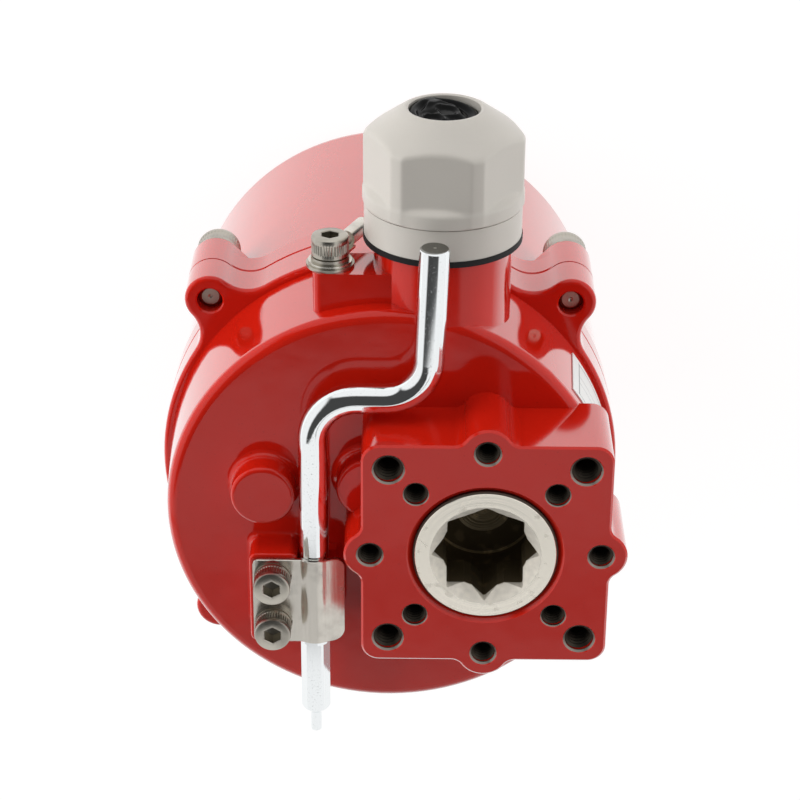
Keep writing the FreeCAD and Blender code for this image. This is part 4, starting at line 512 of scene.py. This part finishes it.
clip_pair = [socket_screw(at(-39.15, y, -6.2), *M4_CLIP) for y in (-9.05, -19.05)]
clip_screws = piece("clip_screws_knurled", *joined(clip_pair), "stainless", "housing")
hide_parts("clip_screws")

earth_shape = socket_screw(at(-28.6, 49.1, -23.5, TOWARDS_GLAND), *M4_EARTH)
earth_screw = piece("earth_screw_knurled", *earth_shape, "stainless", "housing")
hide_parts("earth_screw")

sides = (-EAR_SPREAD, EAR_SPREAD)
ears = [(HOUSING_MIDDLE + x, y) for x in sides for y in sides]
cover_four = [socket_screw(at(x, y, -55.2, DOWNWARD), *M5_COVER) for x, y in ears]
cover_screws = piece("cover_screws_knurled", *joined(cover_four), "stainless", "housing")
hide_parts("cover_screws")


# The tapped holes of the pad: drill radius, bolt circle, first of four angles, pitch.
TAPPED = (2.63, 50, 45, 1.0), (2.18, 36, 45, 0.8), (2.18, 42, 0, 0.8)
THREAD_TOP = -0.35
THREAD_BOTTOM = -10.5
THREAD_STEPS = 28


def thread(x, y, radius, pitch):
    """The inside thread of a tapped hole, as one helical ridge on its wall, dark as painted shade
    in the hole.
    """
    vertices, faces = [], []
    crest = radius - 0.5 * pitch
    profile = (0, radius), (0.4, crest), (0.6, crest), (1, radius)
    count = round((THREAD_TOP - THREAD_BOTTOM) / pitch * THREAD_STEPS)
    for step in range(count + 1):
        angle = 2 * math.pi * step / THREAD_STEPS
        level = THREAD_TOP - pitch * step / THREAD_STEPS
        for drop, reach in profile:
            around = x + reach * math.cos(angle), y + reach * math.sin(angle)
            vertices.append((*around, level - drop * pitch))
    for step in range(count):
        for side in range(3):
            low = 4 * step + side
            faces.append((low, low + 1, low + 5, low + 4))
    return vertices, faces


holes = []
for radius, bolt_circle, first, pitch in TAPPED:
    for angle in range(first, 360, 90):
        x = bolt_circle / 2 * math.cos(math.radians(angle))
        y = bolt_circle / 2 * math.sin(math.radians(angle))
        holes.append(thread(x, y, radius, pitch))
# The thread liners take the dark gearhead zinc tint as painted shade inside the holes.
piece("mounting_threads", *joined(holes), "gearhead_zinc", "housing")


def soft_least(first, second, blend):
    """The smaller of two numbers, with a rounded change from one to the other."""
    share = max(blend - abs(first - second), 0) / blend
    return min(first, second) - share * share * blend / 4


# The gland's axis runs along Y. Levels are measured from the nut's foot.
GLAND = Vector((-8.25, 58.15, -27.65))
NUT_RADIUS = 14.5
NUT_FLATS = 13.12
NUT_TURN = math.radians(6)
NUT_MOUTH = 6.5
NUT_LENGTH = 17.786
COLLAR_TOP = 2.3
CONE_FOOT = NUT_MOUTH + 0.9
CONE_SLOPE = 1.42


def lathed(outline, steps, reach):
    """Points and faces round the gland's axis through a closed outline, shaped by the reach."""
    vertices, faces = [], []
    for radius, level in outline:
        for step in range(steps):
            angle = 2 * math.pi * step / steps
            wide, high = reach(radius, level, angle)
            point = Vector((wide * math.sin(angle), high, wide * math.cos(angle)))
            vertices.append(GLAND + point)
    rows = len(outline)
    for row in range(rows):
        faces += ring_faces(row * steps, (row + 1) % rows * steps, steps)
    return vertices, faces


def nut_reach(radius, level, angle):
    """The moulded nut outside: a collar, six soft flats above it, and a cone up to the mouth."""
    if radius < NUT_RADIUS:
        return radius, level
    flats = soft_least(NUT_FLATS / math.cos(off_flat(angle + NUT_TURN)), NUT_RADIUS, 0.14)
    body = soft_least(flats, CONE_FOOT + (NUT_LENGTH - level) * CONE_SLOPE, 0.9)
    collar = NUT_RADIUS - max(level - COLLAR_TOP, 0) ** 2 * 0.9
    return -soft_least(-body, -collar, 0.7), level


nut_foot = [(NUT_RADIUS - 0.3, 0), (NUT_RADIUS - 0.06, 0.12)]
nut_side = [(NUT_RADIUS, 0.35 + 0.347 * step) for step in range(50)]
nut_rim = [(7.3, 17.7), (7.05, NUT_LENGTH), (6.75, NUT_LENGTH), (NUT_MOUTH, 17.6)]
nut_bore = [(NUT_MOUTH, 15.5), (11.05, 8.3), (11.05, 0)]
nut_shape = lathed(nut_foot + nut_side + nut_rim + nut_bore, 300, nut_reach)
nut = piece("gland_nut_moulded", *nut_shape, "gland_plastic", "housing", 40)
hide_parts("gland_nut")


PLUG_FACE = 16.4
PLUG_TOP = NUT_LENGTH - 0.03


def bell(offset, width):
    """1 at no offset, falling smoothly to nothing a few widths away."""
    return math.exp(-((offset / width) ** 2))


def plug_reach(radius, level, angle):
    """The plug's face: folds of black rubber, with a lump beside the mouth's far edge."""
    if level < PLUG_FACE:
        return radius, level
    x, z = radius * math.sin(angle), radius * math.cos(angle)
    lean = -0.09 * (x + z)
    lip = 0.4 * bell(radius - 5.5, 0.55) - 0.3 * bell(radius - 4.4, 0.4)
    lump = 1.3 * math.exp(-((x + 2.0) ** 2 / 2.2 + (z + 3.5) ** 2 / 2.0))
    fold = abs(noise.noise(Vector((x / 4.2 + 4, z / 2.6, 2.3))))
    folds = 0.6 * max(1 - 2.6 * fold, 0) * min(max(4.6 - radius, 0), 1)
    return radius, min(level + lean + lip + lump + folds, PLUG_TOP)


plug_face = [(0.02 + 6.33 * step / 30, PLUG_FACE) for step in range(31)]
plug_side = [(6.3, 15.55), (5.15, 15.5), (5.15, 4), (0.02, 4)]
plug_shape = lathed((plug_face + plug_side)[::-1], 96, plug_reach)
plug = piece("gland_plug_folded", *plug_shape, "plug_rubber", "housing", 60)
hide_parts("gland_plug")


# The crank's clip: a plate on its seat, a hump over the rod, and a slope to the free end.
CLIP_LEFT = -42.9
CLIP_RIGHT = -25.9
CLIP_LOWER = -23.4
CLIP_UPPER = -5.5
CLIP_CORNERS = (1.0, 2.0)
CLIP_SEAT = -8.0
SHEET = 1.0
SHEET_EDGE = 0.15
BORE_RADIUS = 2.81
HUMP_RADIUS = 3.65
SLOPE_START = 1.3


def clip_levels(x):
    """Underside and top of the bent sheet, which slopes down to its free end past the rod."""
    off = x - ROD_X
    if off < SLOPE_START:
        flat, thick = CLIP_SEAT, SHEET
    else:
        flat, thick = -7.02 - 0.4 * off, 1.077 * SHEET
    bore = ROD_Z + math.sqrt(max(BORE_RADIUS ** 2 - off ** 2, 0))
    hump = ROD_Z + math.sqrt(max(HUMP_RADIUS ** 2 - off ** 2, 0))
    return max(flat, bore), -soft_least(-(flat + thick), -hump, 0.12)


def corner_inset(x):
    """How far a rounded corner draws the sheet's edge in."""
    left, right = CLIP_CORNERS
    short = max(left - (x - CLIP_LEFT), 0) / left, max(right - (CLIP_RIGHT - x), 0) / right
    return sum(
        corner * (1 - math.sqrt(1 - share * share)) for corner, share in zip(CLIP_CORNERS, short)
    )


def bent_sheet():
    """The clip as a row of eight-sided cross sections from its left edge to its free end."""
    left, right = CLIP_CORNERS
    turns = [math.pi / 2 * step / 8 for step in range(8)]
    places = [CLIP_LEFT + left * (1 - math.cos(angle)) for angle in turns]
    span = CLIP_RIGHT - right - CLIP_LEFT - left
    places += [CLIP_LEFT + left + span * step / 70 for step in range(71)]
    places += [CLIP_RIGHT - right * (1 - math.cos(angle)) for angle in turns[::-1]]

    edge = SHEET_EDGE
    vertices, faces = [], []
    for x in places:
        low, high = clip_levels(x)
        near, far = CLIP_LOWER + corner_inset(x), CLIP_UPPER - corner_inset(x)
        section = [(near, low + edge), (near, high - edge), (near + edge, high)]
        section += [(far - edge, high), (far, high - edge), (far, low + edge)]
        section += [(far - edge, low), (near + edge, low)]
        vertices += [(x, y, z) for y, z in section]
    for row in range(len(places) - 1):
        for side in range(8):
            one, two = 8 * row + side, 8 * row + (side + 1) % 8
            faces.append((one, two, two + 8, one + 8))
    faces += [tuple(range(8))[::-1], tuple(range(len(vertices) - 8, len(vertices)))]
    return vertices, faces


clip_sheet = piece("clip_sheet_bent", *bent_sheet(), "clip_steel", "housing")
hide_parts("crank_clip")


# The photo's camera, as solved on the bolt circles of the mounting pad.
CAMERA_PLACE = (-13.8, 222.7, 366.1)
CAMERA_RIGHT = (1.0, 0.0057, -0.0081)
CAMERA_BACK = (0.0046, 0.4623, 0.8867)
CAMERA_LENS = 106.07
CAMERA_SENSOR = 36


def photo_camera():
    data = bpy.data.cameras.new("photo camera")
    data.lens = CAMERA_LENS
    data.sensor_width = CAMERA_SENSOR
    data.clip_start = 0.01
    camera = bpy.data.objects.new("photo camera", data)
    bpy.context.scene.collection.objects.link(camera)
    right = Vector(CAMERA_RIGHT).normalized()
    back = Vector(CAMERA_BACK).normalized()
    up = back.cross(right).normalized()
    turn = Matrix((right, up, back)).transposed().to_4x4()
    camera.matrix_world = Matrix.Translation(Vector(CAMERA_PLACE) * MM) @ turn
    bpy.context.scene.camera = camera


photo_camera()

# Lamps, in metres and watts: name, place, width and height, power. All are turned to one point.
LAMPS = (
    ("left softbox", (-0.83, 0.13, 0.12), (1.3, 0.6), 8.0),
    ("right softbox", (0.8, 0.1, 0.1), (1.0, 0.38), 3.8),
    ("far softbox", (0.0, 0.95, 0.12), (0.9, 0.4), 2.2),
)
LIT_POINT = (-0.018, 0, -0.05)


def lamp(name, place, size, power):
    """A soft rectangular light turned towards the part, which no shiny face mirrors."""
    data = bpy.data.lights.new(name, "AREA")
    data.shape = "RECTANGLE"
    data.size, data.size_y = size
    data.energy = power
    light = bpy.data.objects.new(name, data)
    light.location = place
    light.visible_glossy = False
    light.rotation_euler = (Vector(LIT_POINT) - Vector(place)).to_track_quat("-Z", "Y").to_euler()
    bpy.context.scene.collection.objects.link(light)


for settings in LAMPS:
    lamp(*settings)


# Brightness of the room as plain faces gather it; shiny faces mirror full white instead.
ROOM_LEVEL = 0.325


def room():
    """White for the camera; shiny faces also mirror a dark ceiling panel and a grey strip."""
    world = bpy.data.worlds.new("room")
    bpy.context.scene.world = world
    air = Finish(world)
    x, y, z = air.split(air.node("ShaderNodeTexCoord").part("Generated"))
    above = z > 0
    across = x.rise(-0.76, -0.62) * (1 - x.rise(0.36, 0.52))
    panel = across * y.rise(-0.456, -0.43) * (1 - y.rise(0.68, 0.8)) * above
    strip = (1 - abs(y + 0.535).rise(0.008, 0.022)) * (1 - x.rise(0.2, 0.35)) * above
    mirrored = 1.0 - panel * 0.94 - strip * 0.6

    rays = air.node("ShaderNodeLightPath")
    camera_ray = rays.part("Is Camera Ray")
    glossy = rays.part("Is Glossy Ray") + rays.part("Is Transmission Ray")
    level = ROOM_LEVEL * (1 - glossy) + mirrored * glossy
    strength = level * (1 - camera_ray) + camera_ray
    light = air.node("ShaderNodeBackground", None, {"Color": WHITE, "Strength": strength})
    air.node("ShaderNodeOutputWorld", None, {"Surface": light})


room()


def floor_finish():
    """Pale board that the camera sees as white, with the part's soft shadow."""
    board = finish("floor board")
    grain = board.noise(board.place(), 30, 3)
    pale = board.shade(tint(244, 244, 243), 0.99 + grain * 0.02)
    rays = board.node("ShaderNodeLightPath")
    seen = rays.part("Is Camera Ray") + rays.part("Is Glossy Ray")
    seen = seen + rays.part("Is Transmission Ray")
    plain = board.node("ShaderNodeBsdfDiffuse", None, {"Color": pale})
    shadow = board.node("ShaderNodeBsdfDiffuse", None, {"Color": board.shade(pale, 0.25)})
    glow = board.node("ShaderNodeEmission", None, {"Color": WHITE, "Strength": 0.88})
    white = board.node("ShaderNodeAddShader", None, {0: shadow, 1: glow})
    board.surface(board.node("ShaderNodeMixShader", None, {0: seen, 1: plain, 2: white}))
    return board.owner


# Half the floor's side, in metres.
FLOOR_REACH = 4.0


def laid_floor():
    """A square floor under the part's lowest point."""
    ground = model_box[0].z
    corners = (-1, -1), (1, -1), (1, 1), (-1, 1)
    vertices = [(FLOOR_REACH * x, FLOOR_REACH * y, ground) for x, y in corners]
    mesh = bpy.data.meshes.new("floor")
    mesh.from_pydata(vertices, [], [(0, 1, 2, 3)])
    mesh.materials.append(floor_finish())
    made = bpy.data.objects.new("floor", mesh)
    bpy.context.scene.collection.objects.link(made)
    return made


floor = laid_floor()

bpy.context.scene.view_settings.view_transform = "Standard"
